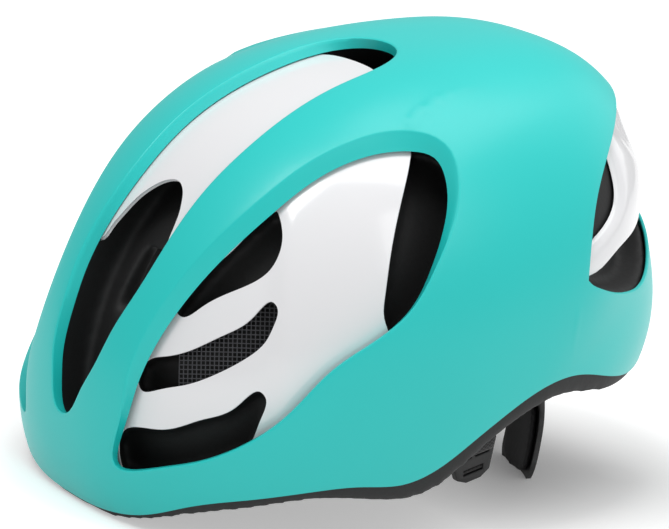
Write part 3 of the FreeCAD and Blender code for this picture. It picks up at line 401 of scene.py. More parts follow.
def both_halves(points):
    """A closed outline from its right half."""
    return list(points) + [(-p[0], *p[1:]) for p in reversed(points) if p[0]]


def side_line(points, depth, count):
    """A line seen from the side, laid on the form's left; an end that is near the middle is led on to it."""
    y, z = points.T
    lateral, share = section(y, z - AXIS[2], depth)
    held = share < 1
    x = (HALF_WIDTH - depth) * (1 - share[held]) ** (1 / lateral[held])
    line = np.column_stack([x, y[held], z[held]])
    for end in (0, -1):
        if line[end, 0] < MIDDLE_REACH:
            last = line[end] * (0, 1, 1)
            line = np.concatenate([[last], line] if end == 0 else [line, [last]])
    along = np.concatenate([[0], np.cumsum(np.linalg.norm(np.diff(line, axis=0), axis=1))])
    places = np.linspace(0, along[-1], count)
    return np.column_stack([np.interp(places, along, column) for column in line.T])


def both_sides(line):
    """A loop from a line that starts and ends on the middle plane."""
    return np.concatenate([line, (line * (-1, 1, 1))[-2:0:-1]])


def lower_rim(count=170):
    """The shell's lower edge, a little rounded."""
    line = smooth_line(LOWER_EDGE, FINE_STEP, closed=False)
    steps = ((0.6, 0), (0.15, 0.08), (0, 0.4), (0, 1.2), (0.3, SHELL_WALL))
    return [both_sides(side_line(grown(line, -up, closed=False), depth, count)) for up, depth in steps]


def rear_rim(count=110):
    """The rear opening's edge: its upper line, then its lower one back."""
    rim = []
    upper, lower = [smooth_line(points, FINE_STEP, closed=False) for points in (REAR_TOP, REAR_BOTTOM)]
    for up, depth in ((0.9, 0), (0.25, 0.1), (0, 0.5), (0, 1.2), (0.3, SHELL_WALL)):
        top = side_line(grown(upper, -up, closed=False), depth, count)
        base = side_line(grown(lower, up, closed=False), depth, count)
        corner = (top[0] + base[0]) / 2
        left = np.concatenate([base[:0:-1], [corner], top[1:]])
        rim.append(both_sides(left))
    return rim


def vent_rim(plane, outline, step=2.2):
    """A vent's edge: it slopes in to the rim's foot, and turns back under the skin."""
    line = smooth_line(outline, step)
    slope = line[:, 2]
    rim = []
    for out, depth in (
        (slope + 0.9, 0), (slope + 0.3, 0.07), (slope - 0.1, 0.32), (slope * 0.66, 1.6), (slope * 0.33, 3.1),
        (slope * 0 + 0.12, RIM_DEPTH - 0.25), (slope * 0 + 0.5, RIM_DEPTH), (slope * 0 + 1.4, RIM_DEPTH),
        (slope * 0.5 + 1.8, 3.2), (slope + 1.8, SHELL_WALL),
    ):
        rim.append(carried(plane, grown(line, out), depth))
    return rim


side_rim = vent_rim(SIDE, SIDE_VENT)
# Two faint creases in the skin, and their heights: one runs back from the side vent's top corner, one down
# behind the vent.
CREASE_WIDTH = 1.4
CREASES = (
    (((56.4, -18.5, 166), (54, -8, 170), (51, 5, 172.5), (49, 17, 173.5), (48, 32, 173)), 0.95),
    (((95, 40, 88), (96, 38, 80), (96, 36, 71), (96, 34, 63)), 0.3),
)
crease_lines = []
for crease, height in CREASES:
    for side in (1, -1):
        line = smooth_line([(y, z, x * side) for x, y, z in crease], 2.5, closed=False)[:, (2, 0, 1)]
        crease_lines.append((folded(spread(line), 0), height))


def creased(points):
    """The skin's points with the creases raised: soft ridges that rise from the rim and die away."""
    out = (points - AXIS) / np.linalg.norm(points - AXIS, axis=1)[:, None]
    for line, height in crease_lines:
        away = np.full(len(points), 1e9)
        fade = np.zeros(len(points))
        for number, point in enumerate(line):
            far = np.linalg.norm(points - point, axis=1)
            nearer = far < away
            away = np.where(nearer, far, away)
            fade = np.where(nearer, min(number / 3, 1 - number / (len(line) - 1)), fade)
        points = points + out * (height * np.minimum(1, fade * 1.4) * np.exp(-away / CREASE_WIDTH))[:, None]
    return points


crown_rim = vent_rim(CROWN, both_halves(CROWN_VENT))
points, faces = skin(
    [lower_rim(), side_rim, [loop * (-1, 1, 1) for loop in side_rim], crown_rim, rear_rim()],
    spread, folded, 0, SHELL_WALL, 3.0, 7.0, [line for line, height in crease_lines], creased,
)
fitted(made("shell_skin", stood(points), faces, satin_teal), "helmet", "teal_shell", "outer_shell")

# ---------------------------------------------------------------- White panels
# The crown and side panels are separate skins of glossy white polycarbonate, 1.6 mm thick, laid in the vents
# some 5 mm under the ribs before the foam is moulded. Each trimmed edge has two thin lips.

# Gloss lacquer, nearly white: sharp reflections with the slightest ripple.
gloss_white, tree, place = started("gloss_white_lacquer")
ripple = bumped(tree, 0.1, 0.00004, noise(tree, place, 0.004))
polish = between(tree, 0.12, 0.2, noise(tree, place, 0.02, 2.0))
shaded(
    tree, {"Base Color": linear("#E9E9EB"), "Coat Weight": 0.5, "Coat Roughness": 0.06},
    {"Roughness": polish, "Normal": ripple},
)

# The side panel's three ports, drawn on the side plane.
TOP_PORT = (
    (-56.8, 42.8), (-40.2, 63.4), (-30.8, 73.2), (-22, 81.9), (-19.6, 83), (-17.2, 79.5), (-17.2, 64),
    (-20, 59), (-31, 51.6), (-46, 44), (-54, 40.5),
)
MIDDLE_PORT = (
    (-71.3, 16.8), (-66, 26), (-60, 27), (-51, 29), (-38, 35), (-27, 42), (-19, 48), (-17, 46), (-18, 38),
    (-21, 32), (-29, 25), (-40, 19), (-51, 15), (-62, 13), (-69, 12.7),
)
LOWER_PORT = (
    (-79, -13), (-76.8, -0.8), (-61, -0.3), (-46, 3.5), (-33, 8.5), (-23, 14.5), (-21, 12.5), (-22.8, 3),
    (-27.3, -6.2), (-36, -10.3), (-47, -13.9), (-62, -16.6), (-73, -16.9), (-77.8, -16),
)
PANEL_WALL = 1.6
LIP = 0.7
CROWN_DEPTH, SIDE_DEPTH = 5.0, 6.0


def hollow_rim(plane, line, sign, top):
    """A panel's edge, hollowed between two lips. The sign is 1 for an outline and -1 for an opening."""
    bottom = top + PANEL_WALL
    steps = (
        (LIP, top), (0.29 * LIP, top + 0.29 * LIP), (0, top + LIP), (0, bottom - LIP + 0.05),
        (0.29 * LIP, bottom - 0.29 * LIP), (LIP, bottom),
    )
    return [carried(plane, grown(line, sign * out), depth) for out, depth in steps]


def plate(plane, outline, openings, top, step=1.7):
    """A panel of the form, drawn on a design plane."""
    rims = [hollow_rim(plane, smooth_line(outline, step), 1, top)]
    rims += [hollow_rim(plane, smooth_line(opening, step * 0.75), -1, top) for opening in openings]
    return skin(
        rims, lambda points: points @ plane[:2].T, lambda flat, depth: carried(plane, flat, depth),
        top, top + PANEL_WALL, step * 1.5, step * 3,
    )


# The crown panel's right half: round under the rib, and back along the pointed arch that it leaves open.
CROWN_PANEL = (
    (7, 125), (14.5, 123.6), (19.5, 120.5), (21.4, 116), (22.4, 103), (22.9, 85), (23.2, 67), (22.5, 44),
    (22, 25), (21.6, 12), (20.6, 9), (18.9, 10.2), (18, 14), (16.5, 21), (13, 32), (10.6, 36), (8, 39.3),
    (4.5, 42), (1.2, 43.2),
)
points, faces = plate(CROWN, both_halves(CROWN_PANEL), [], CROWN_DEPTH)
fitted(made("crown_plate", stood(points), faces, gloss_white), "helmet", "white_gloss", "crown_panel")

# The side panel: under the rib along the top, down its own free rear edge, and forward under the lower edge.
SIDE_PANEL = (
    (-81.2, -17), (-79, 0), (-73.6, 17.2), (-59.4, 43.2), (-42.3, 65), (-22.3, 85), (-6, 98.7), (9, 107.3),
    (24, 111.5), (28, 110.5), (28.6, 106), (26.4, 90.5), (23, 68.5), (21.2, 52), (21.4, 42), (23, 36),
    (20, 31.5), (5, 20), (-11, 3), (-27, -8.6), (-44, -15.6), (-62, -18.7), (-75, -18.7),
)


def louvred(points):
    """The side panel's relief: ahead of a soft fold its bars sink and roll inwards."""
    fold_start, fold_width, fold_depth = -13.5, 9, 1.3
    ahead = np.clip((fold_start - points @ SIDE[0]) / fold_width, 0, 1)
    sunk = fold_depth * ahead * ahead * (3 - 2 * ahead)
    return points - SIDE[2] * sunk[:, None]


points, faces = plate(SIDE, SIDE_PANEL, [TOP_PORT, MIDDLE_PORT, LOWER_PORT], SIDE_DEPTH)
points = louvred(points)
for side, sign in (("left", 1), ("right", -1)):
    panel = made("side_plate_" + side, stood(points * (sign, 1, 1)), faces, gloss_white)
    fitted(panel, "helmet", "white_gloss", "side_panel_" + side)

# ---------------------------------------------------------------- Rear arch
# The real arch is a glossy white bar of polycarbonate that bridges the rear opening and runs under the tail.
# It is 3 mm thick with well rounded edges, and its ends lie under the shell.
ARCH_UPPER = (
    (90.6, 101.5), (88.5, 104), (85.5, 106), (82, 108.5), (78, 112.5), (74.5, 118), (71, 125.5), (67, 133),
    (62, 138.5), (57, 141), (50, 141), (38, 137), (24, 134), (0, 133),
)
ARCH_LOWER = (
    (90.4, 97.5), (88.6, 94.5), (85, 96), (81, 97.5), (76, 97.5), (70, 97.5), (63, 100.5), (57, 106.5),
    (50, 112.5), (40, 116.5), (25, 119), (0, 120),
)
ARCH_TOP, ARCH_BOTTOM = 2.2, 5.4


def over(points, step=1.8):
    """A smooth line from one side over to the other."""
    return smooth_line(list(points) + [(-x, z) for x, z in points[-2::-1]], step, closed=False)


arch_line = np.concatenate([over(ARCH_UPPER), over(ARCH_LOWER)[::-1]])
arch_rim = []
for inward, depth in ((1.4, ARCH_TOP), (0.42, 2.6), (0, 3.4), (0, 4.0), (0.42, 5.0), (1.4, ARCH_BOTTOM)):
    arch_rim.append(carried(REAR, grown(arch_line, -inward), depth))
points, faces = skin([arch_rim], spread, folded, ARCH_TOP, ARCH_BOTTOM, 2.4, 5.0)
# The bar swells a little along its middle, and on each side its top rolls in under the edge of the opening.
across, rise = np.abs(points[:, 0]), points[:, 2]
roll = np.clip((rise - 116) / 20, 0, 1) * np.clip((71 - across) / 16, 0, 1)
roll *= np.clip((across - 34) / 16, 0, 1)
swell = np.exp(-(((rise - 112) / 10) ** 2)) * np.clip((86 - across) / 16, 0, 1)
points[:, 1] += 1.7 * swell - 5 * roll * roll * (3 - 2 * roll)
fitted(made("arch_bar", stood(points), faces, gloss_white), "helmet", "white_gloss", "rear_arch")

# ---------------------------------------------------------------- Foam liner
# The real liner is black expanded polystyrene, steamed in the mould behind the skins, with ducts, a head
# cavity and a lip that shows below the shell. Its surface shows its beads, 2 to 3 mm across.


def cells(tree, place, size, randomness=1.0):
    """The distance from the middle of each of many packed cells of about this size, in metres."""
    settings = {"Scale": 1 / size, "Randomness": randomness}
    return add(tree, "ShaderNodeTexVoronoi", settings, {"Vector": place}).outputs["Distance"]


def reckoned(tree, operation, *terms):
    """The outcome of one sum in a tree. Its terms are numbers, or what other nodes give."""
    values = {place: term for place, term in enumerate(terms) if isinstance(term, (int, float))}
    given = {place: term for place, term in enumerate(terms) if place not in values}
    return add(tree, "ShaderNodeMath", {"operation": operation, **values}, given).outputs[0]


# Moulded polystyrene: a closed dull skin, pitted between the beads.
bead_foam, tree, place = started("moulded_bead_foam")
pits = noise(tree, place, 0.0008, 3.0)
rough = reckoned(tree, "MULTIPLY_ADD", pits, 0.6, cells(tree, place, 0.0024))
shaded(
    tree, {"Roughness": 0.62, "Specular IOR Level": 0.4},
    {"Base Color": toned(tree, "#171717", "#1F1F20", pits), "Normal": bumped(tree, 0.4, 0.00012, rough)},
)


def copied(node, name):
    """A copy of a solid's mesh with its loose triangles joined."""
    mesh = frame["nodes"][node].data.copy()
    mesh.name = name
    reworked(mesh, lambda work: bmesh.ops.remove_doubles(work, verts=work.verts, dist=2e-6))
    if mesh.has_custom_normals:
        mesh.normals_split_custom_set_from_vertices([(0, 0, 0)] * len(mesh.vertices))
    mesh.materials.clear()
    return linked(name, mesh)


def settled(thing, material=None, sharp=None):
    """The object with its modifiers worked into its mesh."""
    graph = bpy.context.evaluated_depsgraph_get()
    mesh = bpy.data.meshes.new_from_object(thing.evaluated_get(graph))
    thing.modifiers.clear()
    thing.data = mesh
    if material:
        mesh.materials.clear()
        mesh.materials.append(material)
    mesh.polygons.foreach_set("use_smooth", [True] * len(mesh.polygons))
    if sharp:
        mesh.set_sharp_from_angle(angle=math.radians(sharp))
    return thing


liner = copied("foam_liner", "foam_body")
remade = liner.modifiers.new("moulded", "REMESH")
remade.mode, remade.voxel_size = "VOXEL", 0.0016
eased = liner.modifiers.new("eased", "SMOOTH")
eased.factor, eased.iterations = 0.5, 16
fewer = liner.modifiers.new("fewer", "DECIMATE")
fewer.ratio = 0.45
fitted(settled(liner, bead_foam), "helmet", "black_foam", "foam_liner")

# ---------------------------------------------------------------- Insect nets
# Behind each middle port lies a net of grey polyester yarn, its border held in the foam. The yarn is 0.4 mm
# thick and the mesh 1.7 mm wide.

# Polyester yarn: grey, with a slight lustre along the filaments.
net_yarn, tree, place = started("grey_polyester_yarn")
twist = bumped(tree, 0.4, 0.00005, noise(tree, place, 0.0005))
shaded(tree, {"Base Color": linear("#55565A"), "Roughness": 0.55}, {"Normal": twist})

NET_EDGE = (
    (-56, 13.5), (-56, 30), (-52, 31.5), (-39, 37.5), (-27, 44.5), (-17, 49.5), (-14.5, 45), (-16, 37),
    (-20, 30), (-28, 23), (-39, 17), (-50, 13),
)
MESH_WIDTH = 1.7
NET_DEPTH = 13.3
# The yarns run between neighbouring knots of a square grid, where both knots lie inside the edge.
columns, rows = np.arange(-72, -12, MESH_WIDTH), np.arange(10, 52, MESH_WIDTH)
knots = np.array([(along, up) for up in rows for along in columns])
inside = within(knots, [np.array(NET_EDGE, float)])
number = np.cumsum(inside) - 1
yarns = []
for i in np.flatnonzero(inside):
    for j in (i + 1, i + len(columns)):
        next_row = j == i + 1 and j % len(columns) == 0
        if j < len(knots) and inside[j] and not next_row:
            yarns.append((int(number[i]), int(number[j])))
knots = carried(SIDE, knots[inside], NET_DEPTH)

netting = bpy.data.node_groups.new("netting", "GeometryNodeTree")
netting.interface.new_socket("Yarns", in_out="INPUT", socket_type="NodeSocketGeometry")
yarn_radius = netting.interface.new_socket("Yarn radius", in_out="INPUT", socket_type="NodeSocketFloat")
netting.interface.new_socket("Net", in_out="OUTPUT", socket_type="NodeSocketGeometry")
given = add(netting, "NodeGroupInput")
strands = add(netting, "GeometryNodeMeshToCurve", links={"Mesh": given.outputs["Yarns"]})
round_section = add(
    netting, "GeometryNodeCurvePrimitiveCircle", {"Resolution": 5}, {"Radius": given.outputs["Yarn radius"]}
)
woven = add(
    netting, "GeometryNodeCurveToMesh", {"Fill Caps": True},
    {"Curve": strands.outputs[0], "Profile Curve": round_section.outputs[0]},
)
whole = add(netting, "GeometryNodeRealizeInstances", links={"Geometry": woven.outputs[0]})
dressed = add(netting, "GeometryNodeSetMaterial", {"Material": net_yarn}, {"Geometry": whole.outputs[0]})
add(netting, "NodeGroupOutput", links={"Net": dressed.outputs[0]})
for side, sign in (("left", 1), ("right", -1)):
    mesh = bpy.data.meshes.new("netting_" + side)
    mesh.from_pydata([tuple(knot) for knot in stood(knots * (sign, 1, 1))], yarns, [])
    net = linked("netting_" + side, mesh)
    weaving = net.modifiers.new("weave", "NODES")
    weaving.node_group = netting
    weaving[yarn_radius.identifier] = 0.00022
    fitted(settled(net), "helmet", "net_mesh", "net_" + side)

# ---------------------------------------------------------------- Comfort pads
# The pads are slabs of open foam, 6 mm thick, sewn or welded into black knitted cloth, and held on the liner
# by round dots of hook tape.

# Brushed knit: matt black cloth of loops 1.3 mm apart, with a soft sheen where it turns away.
pad_knit, tree, place = started("brushed_black_knit")
fuzz = reckoned(tree, "MULTIPLY_ADD", noise(tree, place, 0.0004, 3.0), 0.5, cells(tree, place, 0.0013, 0.35))
shaded(
    tree, {"Base Color": linear("#1C1C1D"), "Roughness": 0.9, "Sheen Weight": 0.35, "Sheen Roughness": 0.5},
    {"Normal": bumped(tree, 0.6, 0.0002, fuzz, invert=True)},
)


def stuffed(node, name, voxel, most, body, slot, cover_material):
    """A foam-filled pad: its solid's shape, blown up a little as cloth, no point moving further than most."""
    pad = copied(node, name)
    remade = pad.modifiers.new("quilt", "REMESH")
    remade.mode, remade.voxel_size = "VOXEL", voxel
    settled(pad)
    start = np.array([v.co for v in pad.data.vertices])
    cover = pad.modifiers.new("cover", "CLOTH")
    cover.settings.use_pressure = True
    cover.settings.uniform_pressure_force = 3.0
    cover.settings.effector_weights.gravity = 0
    cover.settings.mass = 0.2
    for step in range(1, 13):
        bpy.context.scene.frame_set(step)
    settled(pad)
    bpy.context.scene.frame_set(1)
    move = np.array([v.co for v in pad.data.vertices]) - start
    length = np.linalg.norm(move, axis=1)
    move *= np.minimum(1, most / np.maximum(length, TINY))[:, None]
    pad.data.vertices.foreach_set("co", (start + move).ravel())
    eased = pad.modifiers.new("eased", "SMOOTH")
    eased.factor, eased.iterations = 0.5, 4
    finer = pad.modifiers.new("finer", "SUBSURF")
    finer.levels = finer.render_levels = 1
    settled(pad, cover_material)
    fitted(pad, body, slot, node)


for node in ("brow_pad", "crown_pad", "side_pad_left", "side_pad_right"):
    stuffed(node, node + "_cloth", 0.002, 0.0012, "helmet", "pad_cloth", pad_knit)

# Hook tape: a mat of stiff nylon hooks, so fine that it shows as a dull grain.
hook_mat, tree, place = started("nylon_hook_tape")
hooks = bumped(tree, 0.8, 0.0003, cells(tree, place, 0.0009))
shaded(tree, {"Base Color": linear("#1B1B1B"), "Roughness": 0.8}, {"Normal": hooks})


def edged(node, name, width, material, body, slot, segments=2):
    """A rigid piece with its solid's shape and its edges rounded over, as a mould leaves them."""
    thing = copied(node, name)
    reworked(thing.data, lambda work: bmesh.ops.dissolve_limit(
        work, angle_limit=math.radians(0.6), use_dissolve_boundaries=False, verts=work.verts, edges=work.edges
    ))
    if width:
        rounding = thing.modifiers.new("rounding", "BEVEL")
        rounding.width, rounding.segments = width, segments
        rounding.limit_method, rounding.angle_limit = "ANGLE", math.radians(32)
    settled(thing, material, sharp=30)
    fitted(thing, body, slot, node)


edged("pad_hooks", "hook_dots", 0, hook_mat, "helmet", "hook_tape")

# ---------------------------------------------------------------- Pins, anchors and rail
# Two nylon pins hold the fit bands at the temples, four barbed anchors hold the webbing, and a rail for the
# height strip is moulded into the back of the foam. All are black glass-filled nylon.

# Moulded nylon: near black, satin, with the fine spark-eroded grain of the mould and a little flow mottle.
black_nylon, tree, place = started("moulded_black_nylon")
spark = bumped(tree, 0.25, 0.00006, noise(tree, place, 0.00035, 2.0))
flow = between(tree, 0.4, 0.55, noise(tree, place, 0.012, 2.0))
shaded(tree, {"Base Color": linear("#0F0F10")}, {"Roughness": flow, "Normal": spark})
for node in ("temple_pin_left", "temple_pin_right", "height_rail", "strap_anchors"):
    edged(node, node + "_moulding", 0.0004, black_nylon, "helmet", "black_nylon")

# ---------------------------------------------------------------- Webbing
# Straps of flat polyester webbing, 1.3 mm thick: 11 mm wide from each anchor down to the divider, 15 mm wide
# from there. The chin strap is stored up inside the helmet and across under the crown, buckle closed.

# Polyester webbing: a plain weave, drawn a little coarse: its ribs are 1.1 mm apart across and 1.5 mm along.
black_webbing, tree, place = started("black_polyester_webbing")
cloth_map = add(tree, "ShaderNodeUVMap", {"uv_map": "weave"})
apart = add(tree, "ShaderNodeSeparateXYZ", links={"Vector": cloth_map.outputs[0]})
warp_row = reckoned(tree, "FLOOR", reckoned(tree, "MULTIPLY", apart.outputs["X"], 1 / 1.1))
weft = reckoned(tree, "MULTIPLY", apart.outputs["Y"], 1 / 1.5)
phase = reckoned(tree, "MULTIPLY_ADD", warp_row, 0.5, weft)
wave = reckoned(tree, "ABSOLUTE", reckoned(tree, "SINE", reckoned(tree, "MULTIPLY", phase, math.pi)))
shaded(
    tree, {"Roughness": 0.75, "Sheen Weight": 0.2},
    {"Base Color": toned(tree, "#0C0C0C", "#1E1E1F", wave), "Normal": bumped(tree, 0.8, 0.0003, wave)},
)

# In millimetres. The weave's coordinate across the webbing starts clear of zero, so it is nowhere negative.
SIDE_WIDTH, CHIN_WIDTH, HALF_THICKNESS = 11, 15, 0.62
WEAVE_START = 20
STRAP_Y = 14
CHIN_LEFT = (
    (60.6, 9.2), (58.8, 8.9), (57.6, 10.4), (57.7, 30), (58.1, 50), (57.6, 68), (56, 83.5), (51, 97.5),
    (42.7, 109), (29, 114.4), (13, 117.3),
)
CHIN_RIGHT = (
    (-60.6, 9.2), (-58.8, 8.9), (-57.6, 10.4), (-57.8, 28), (-58.2, 48), (-58.3, 69), (-58.2, 88),
    (-57.6, 102), (-53.4, 113.8), (-43, 117.3), (-30, 117.35), (-17, 117.35), (-4, 117.35),
)


def webbing(name, route, width, node):
    """Flat webbing along a smooth route, its width front to back and its selvedges rounded."""
    route = np.array(route, float)
    along = np.concatenate([[0], np.cumsum(np.linalg.norm(np.diff(route, axis=0), axis=1))])
    places = np.linspace(0, along[-1], max(6, round(along[-1] / 1.5)))
    line = np.column_stack([through(along, column)(places) for column in route.T])
    forward = np.gradient(line, axis=0)
    forward /= np.linalg.norm(forward, axis=1)[:, None]
    wide = np.array((0, 1, 0)) - forward * forward[:, 1:2]
    wide /= np.linalg.norm(wide, axis=1)[:, None]
    thick = np.cross(forward, wide)
    turn = 2 * np.pi * np.arange(18) / 18
    across = width / 2 * np.sign(np.cos(turn)) * np.abs(np.cos(turn)) ** 0.3
    through_it = HALF_THICKNESS * np.sign(np.sin(turn)) * np.abs(np.sin(turn)) ** 0.6
    points, cloth = [], []
    for place, centre, out, up in zip(places, line, wide, thick):
        for u, v in zip(across, through_it):
            points.append(centre + out * u + up * v)
            cloth.append((u + WEAVE_START, place))
    count, rows = len(turn), len(places)
    faces = []
    for row in range(rows - 1):
        for i in range(count):
            a, b = row * count + i, row * count + (i + 1) % count
            faces.append((a, b, b + count, a + count))
    faces += [tuple(range(count)), tuple((rows - 1) * count + i for i in reversed(range(count)))]
    mesh = bpy.data.meshes.new(name)
    mesh.from_pydata([tuple(point) for point in stood(points)], [], faces)
    weave = mesh.uv_layers.new(name="weave")
    weave.data.foreach_set("uv", np.ravel([cloth[loop.vertex_index] for loop in mesh.loops]))
    reworked(mesh, lambda work: bmesh.ops.recalc_face_normals(work, faces=work.faces))
    mesh.polygons.foreach_set("use_smooth", [True] * len(mesh.polygons))
    mesh.materials.append(black_webbing)
    fitted(linked(name, mesh), "helmet", "webbing", node)


for side, sign in (("left", 1), ("right", -1)):
    for end, anchor_y, lean in (("front", -40, -5), ("rear", 52, 5)):
        foot = STRAP_Y + lean
        route = (
            (63.2, anchor_y, 64), (63.4, anchor_y * 0.72 + 5, 49), (62.9, anchor_y * 0.3 + 11, 34),
            (62.4, foot, 23), (62.3, foot, 18.4), (61.6, foot, 16.7), (59.8, foot, 16.2),
        )
        name = "%s_web_%s" % (end, side)
        webbing(name, np.array(route) * (sign, 1, 1), SIDE_WIDTH, "%s_strap_%s" % (end, side))
for side, route in (("left", CHIN_LEFT), ("right", CHIN_RIGHT)):
    webbing("chin_web_" + side, [(x, STRAP_Y, z) for x, z in route], CHIN_WIDTH, "chin_strap_" + side)
for node in ("strap_divider_left", "strap_divider_right"):
    edged(node, node + "_moulding", 0.0006, black_nylon, "helmet", "black_nylon", segments=3)
stuffed("chin_pad", "chin_pad_cloth", 0.0012, 0.0006, "helmet", "pad_cloth", pad_knit)

# Silicone rubber: black, dull, with a dry bloom.
dull_rubber, tree, place = started("dull_black_rubber")
bloom = between(tree, 0.6, 0.75, noise(tree, place, 0.005, 3.0))
skinned = bumped(tree, 0.2, 0.00005, noise(tree, place, 0.0006))
shaded(tree, {"Base Color": linear("#1A1A1B")}, {"Roughness": bloom, "Normal": skinned})
edged("strap_keeper", "keeper_loop", 0.0005, dull_rubber, "helmet", "black_rubber")

# ---------------------------------------------------------------- Buckle
# A side-release buckle of acetal, 25 mm wide: the socket is sewn to the left strap, and the prong slides out
# to the right.
edged("buckle_socket", "buckle_female", 0.0009, black_nylon, "helmet", "black_nylon", segments=3)
edged("buckle_prong", "buckle_male", 0.0005, black_nylon, "buckle", "black_nylon", segments=3)

# ---------------------------------------------------------------- Fit system
# Behind the head a housing of two nylon walls guides two toothed arms past a pinion on the dial's shaft. The
# bands hold it at the temples, the strip on top slides in the rail, and the cradle carries two soft pads.
for node in ("fit_band_left", "fit_band_right", "dial_housing", "housing_cover", "height_strip", "cradle"):
    edged(node, node + "_moulding", 0.0004, black_nylon, "fit_frame", "black_nylon")
for node, body in (("fit_arm_left", "left_arm"), ("fit_arm_right", "right_arm")):
    edged(node, node + "_moulding", 0.0002, black_nylon, body, "black_nylon")
edged("drive_pinion", "pinion_moulding", 0.0001, black_nylon, "dial", "black_nylon")
edged("dial_knob", "knob_moulding", 0.0006, black_nylon, "dial", "black_nylon", segments=3)
edged("dial_grip", "grip_ring", 0.0005, dull_rubber, "dial", "black_rubber", segments=3)

# Thermoplastic rubber, moulded with a fine matt texture.
soft_rubber, tree, place = started("matt_soft_rubber")
texture = bumped(tree, 0.35, 0.0001, cells(tree, place, 0.0008))
shaded(tree, {"Base Color": linear("#242425"), "Roughness": 0.7}, {"Normal": texture})
stuffed("cradle_pads", "cradle_cushions", 0.0012, 0.0005, "fit_frame", "soft_pad", soft_rubber)

# The two screws that close the housing: pan heads with a cross recess, of zinc-plated steel.
plated_steel, tree, place = started("zinc_plated_steel")
scuffed = between(tree, 0.25, 0.45, noise(tree, place, 0.0008, 2.0))
shaded(tree, {"Base Color": linear("#B9BBBE"), "Metallic": 1.0}, {"Roughness": scuffed})

screwing = bpy.data.node_groups.new("pan_head_screws", "GeometryNodeTree")
screwing.interface.new_socket("Places", in_out="INPUT", socket_type="NodeSocketGeometry")
SCREW_SIZES = {
    "Head radius": 0.0026, "Head height": 0.0012, "Shank radius": 0.0015, "Shank length": 0.0058,
    "Recess width": 0.0007,
}
size_inputs = {}
for name in SCREW_SIZES:
    size_inputs[name] = screwing.interface.new_socket(name, in_out="INPUT", socket_type="NodeSocketFloat")
screwing.interface.new_socket("Screws", in_out="OUTPUT", socket_type="NodeSocketGeometry")
given = add(screwing, "NodeGroupInput")
head = add(
    screwing, "GeometryNodeMeshCylinder", {"Vertices": 28, "Side Segments": 2},
    {"Radius": given.outputs["Head radius"], "Depth": given.outputs["Head height"]},
)


def lifted(mesh, share, size):
    """A screw's piece, moved up by a share of one of its sizes."""
    height = reckoned(screwing, "MULTIPLY", given.outputs[size], share)
    up = add(screwing, "ShaderNodeCombineXYZ", links={"Z": height})
    links = {"Geometry": mesh, "Translation": up.outputs[0]}
    return add(screwing, "GeometryNodeTransform", links=links).outputs[0]


# The recess is a cross of two blades, cut into the side of the head that is away from the shank.
recessed = head.outputs["Mesh"]
for names in (("Head radius", "Recess width", "Head height"), ("Recess width", "Head radius", "Head height")):
    sizes = [given.outputs[name] for name in names]
    size = add(screwing, "ShaderNodeCombineXYZ", links=dict(zip("XYZ", sizes)))
    blade = add(screwing, "GeometryNodeMeshCube", links={"Size": size.outputs[0]})
    cut = add(
        screwing, "GeometryNodeMeshBoolean", {"operation": "DIFFERENCE", "solver": "EXACT"},
        {"Mesh 1": recessed, "Mesh 2": lifted(blade.outputs["Mesh"], -0.6, "Head height")},
    )
    recessed = cut.outputs[0]
shank = add(
    screwing, "GeometryNodeMeshCylinder", {"Vertices": 20},
    {"Radius": given.outputs["Shank radius"], "Depth": given.outputs["Shank length"]},
)
one = add(screwing, "GeometryNodeJoinGeometry")
for piece in (recessed, lifted(shank.outputs["Mesh"], 0.5, "Shank length")):
    screwing.links.new(piece, one.inputs[0])
ways_out = add(screwing, "GeometryNodeInputNamedAttribute", {"data_type": "FLOAT_VECTOR", "Name": "way_out"})
turned = add(
    screwing, "FunctionNodeAlignRotationToVector", {"axis": "Z"}, {"Vector": ways_out.outputs["Attribute"]}
)
set_out = add(
    screwing, "GeometryNodeInstanceOnPoints", None,
    {"Points": given.outputs["Places"], "Instance": one.outputs[0], "Rotation": turned.outputs[0]},
)
whole = add(screwing, "GeometryNodeRealizeInstances", links={"Geometry": set_out.outputs[0]})
dressed = add(screwing, "GeometryNodeSetMaterial", {"Material": plated_steel}, {"Geometry": whole.outputs[0]})
add(screwing, "NodeGroupOutput", links={"Screws": dressed.outputs[0]})

# The screws point outwards from the ring's axis, one each side of the dial.
screw_turn, screw_distance = math.radians(14), 66.6
ring_turn = Matrix.Rotation(math.radians(-RING_TILT), 3, "X")
places, ways_out = [], []
for turn in (-screw_turn, screw_turn):
    way = ring_turn @ Vector((math.sin(turn), math.cos(turn), 0))
    places.append(tuple(stood([RING_CENTRE + way * screw_distance])[0]))
    ways_out.append(tuple(STAND.to_3x3() @ way))
mesh = bpy.data.meshes.new("cover_screws")
mesh.from_pydata(places, [], [])
mesh.attributes.new("way_out", "FLOAT_VECTOR", "POINT").data.foreach_set("vector", np.ravel(ways_out))
screws = linked("cover_screws", mesh)
setting = screws.modifiers.new("setting", "NODES")
setting.node_group = screwing
for name, value in SCREW_SIZES.items():
    setting[size_inputs[name].identifier] = value
fitted(settled(screws, sharp=35), "fit_frame", "screw_steel", "housing_screws")

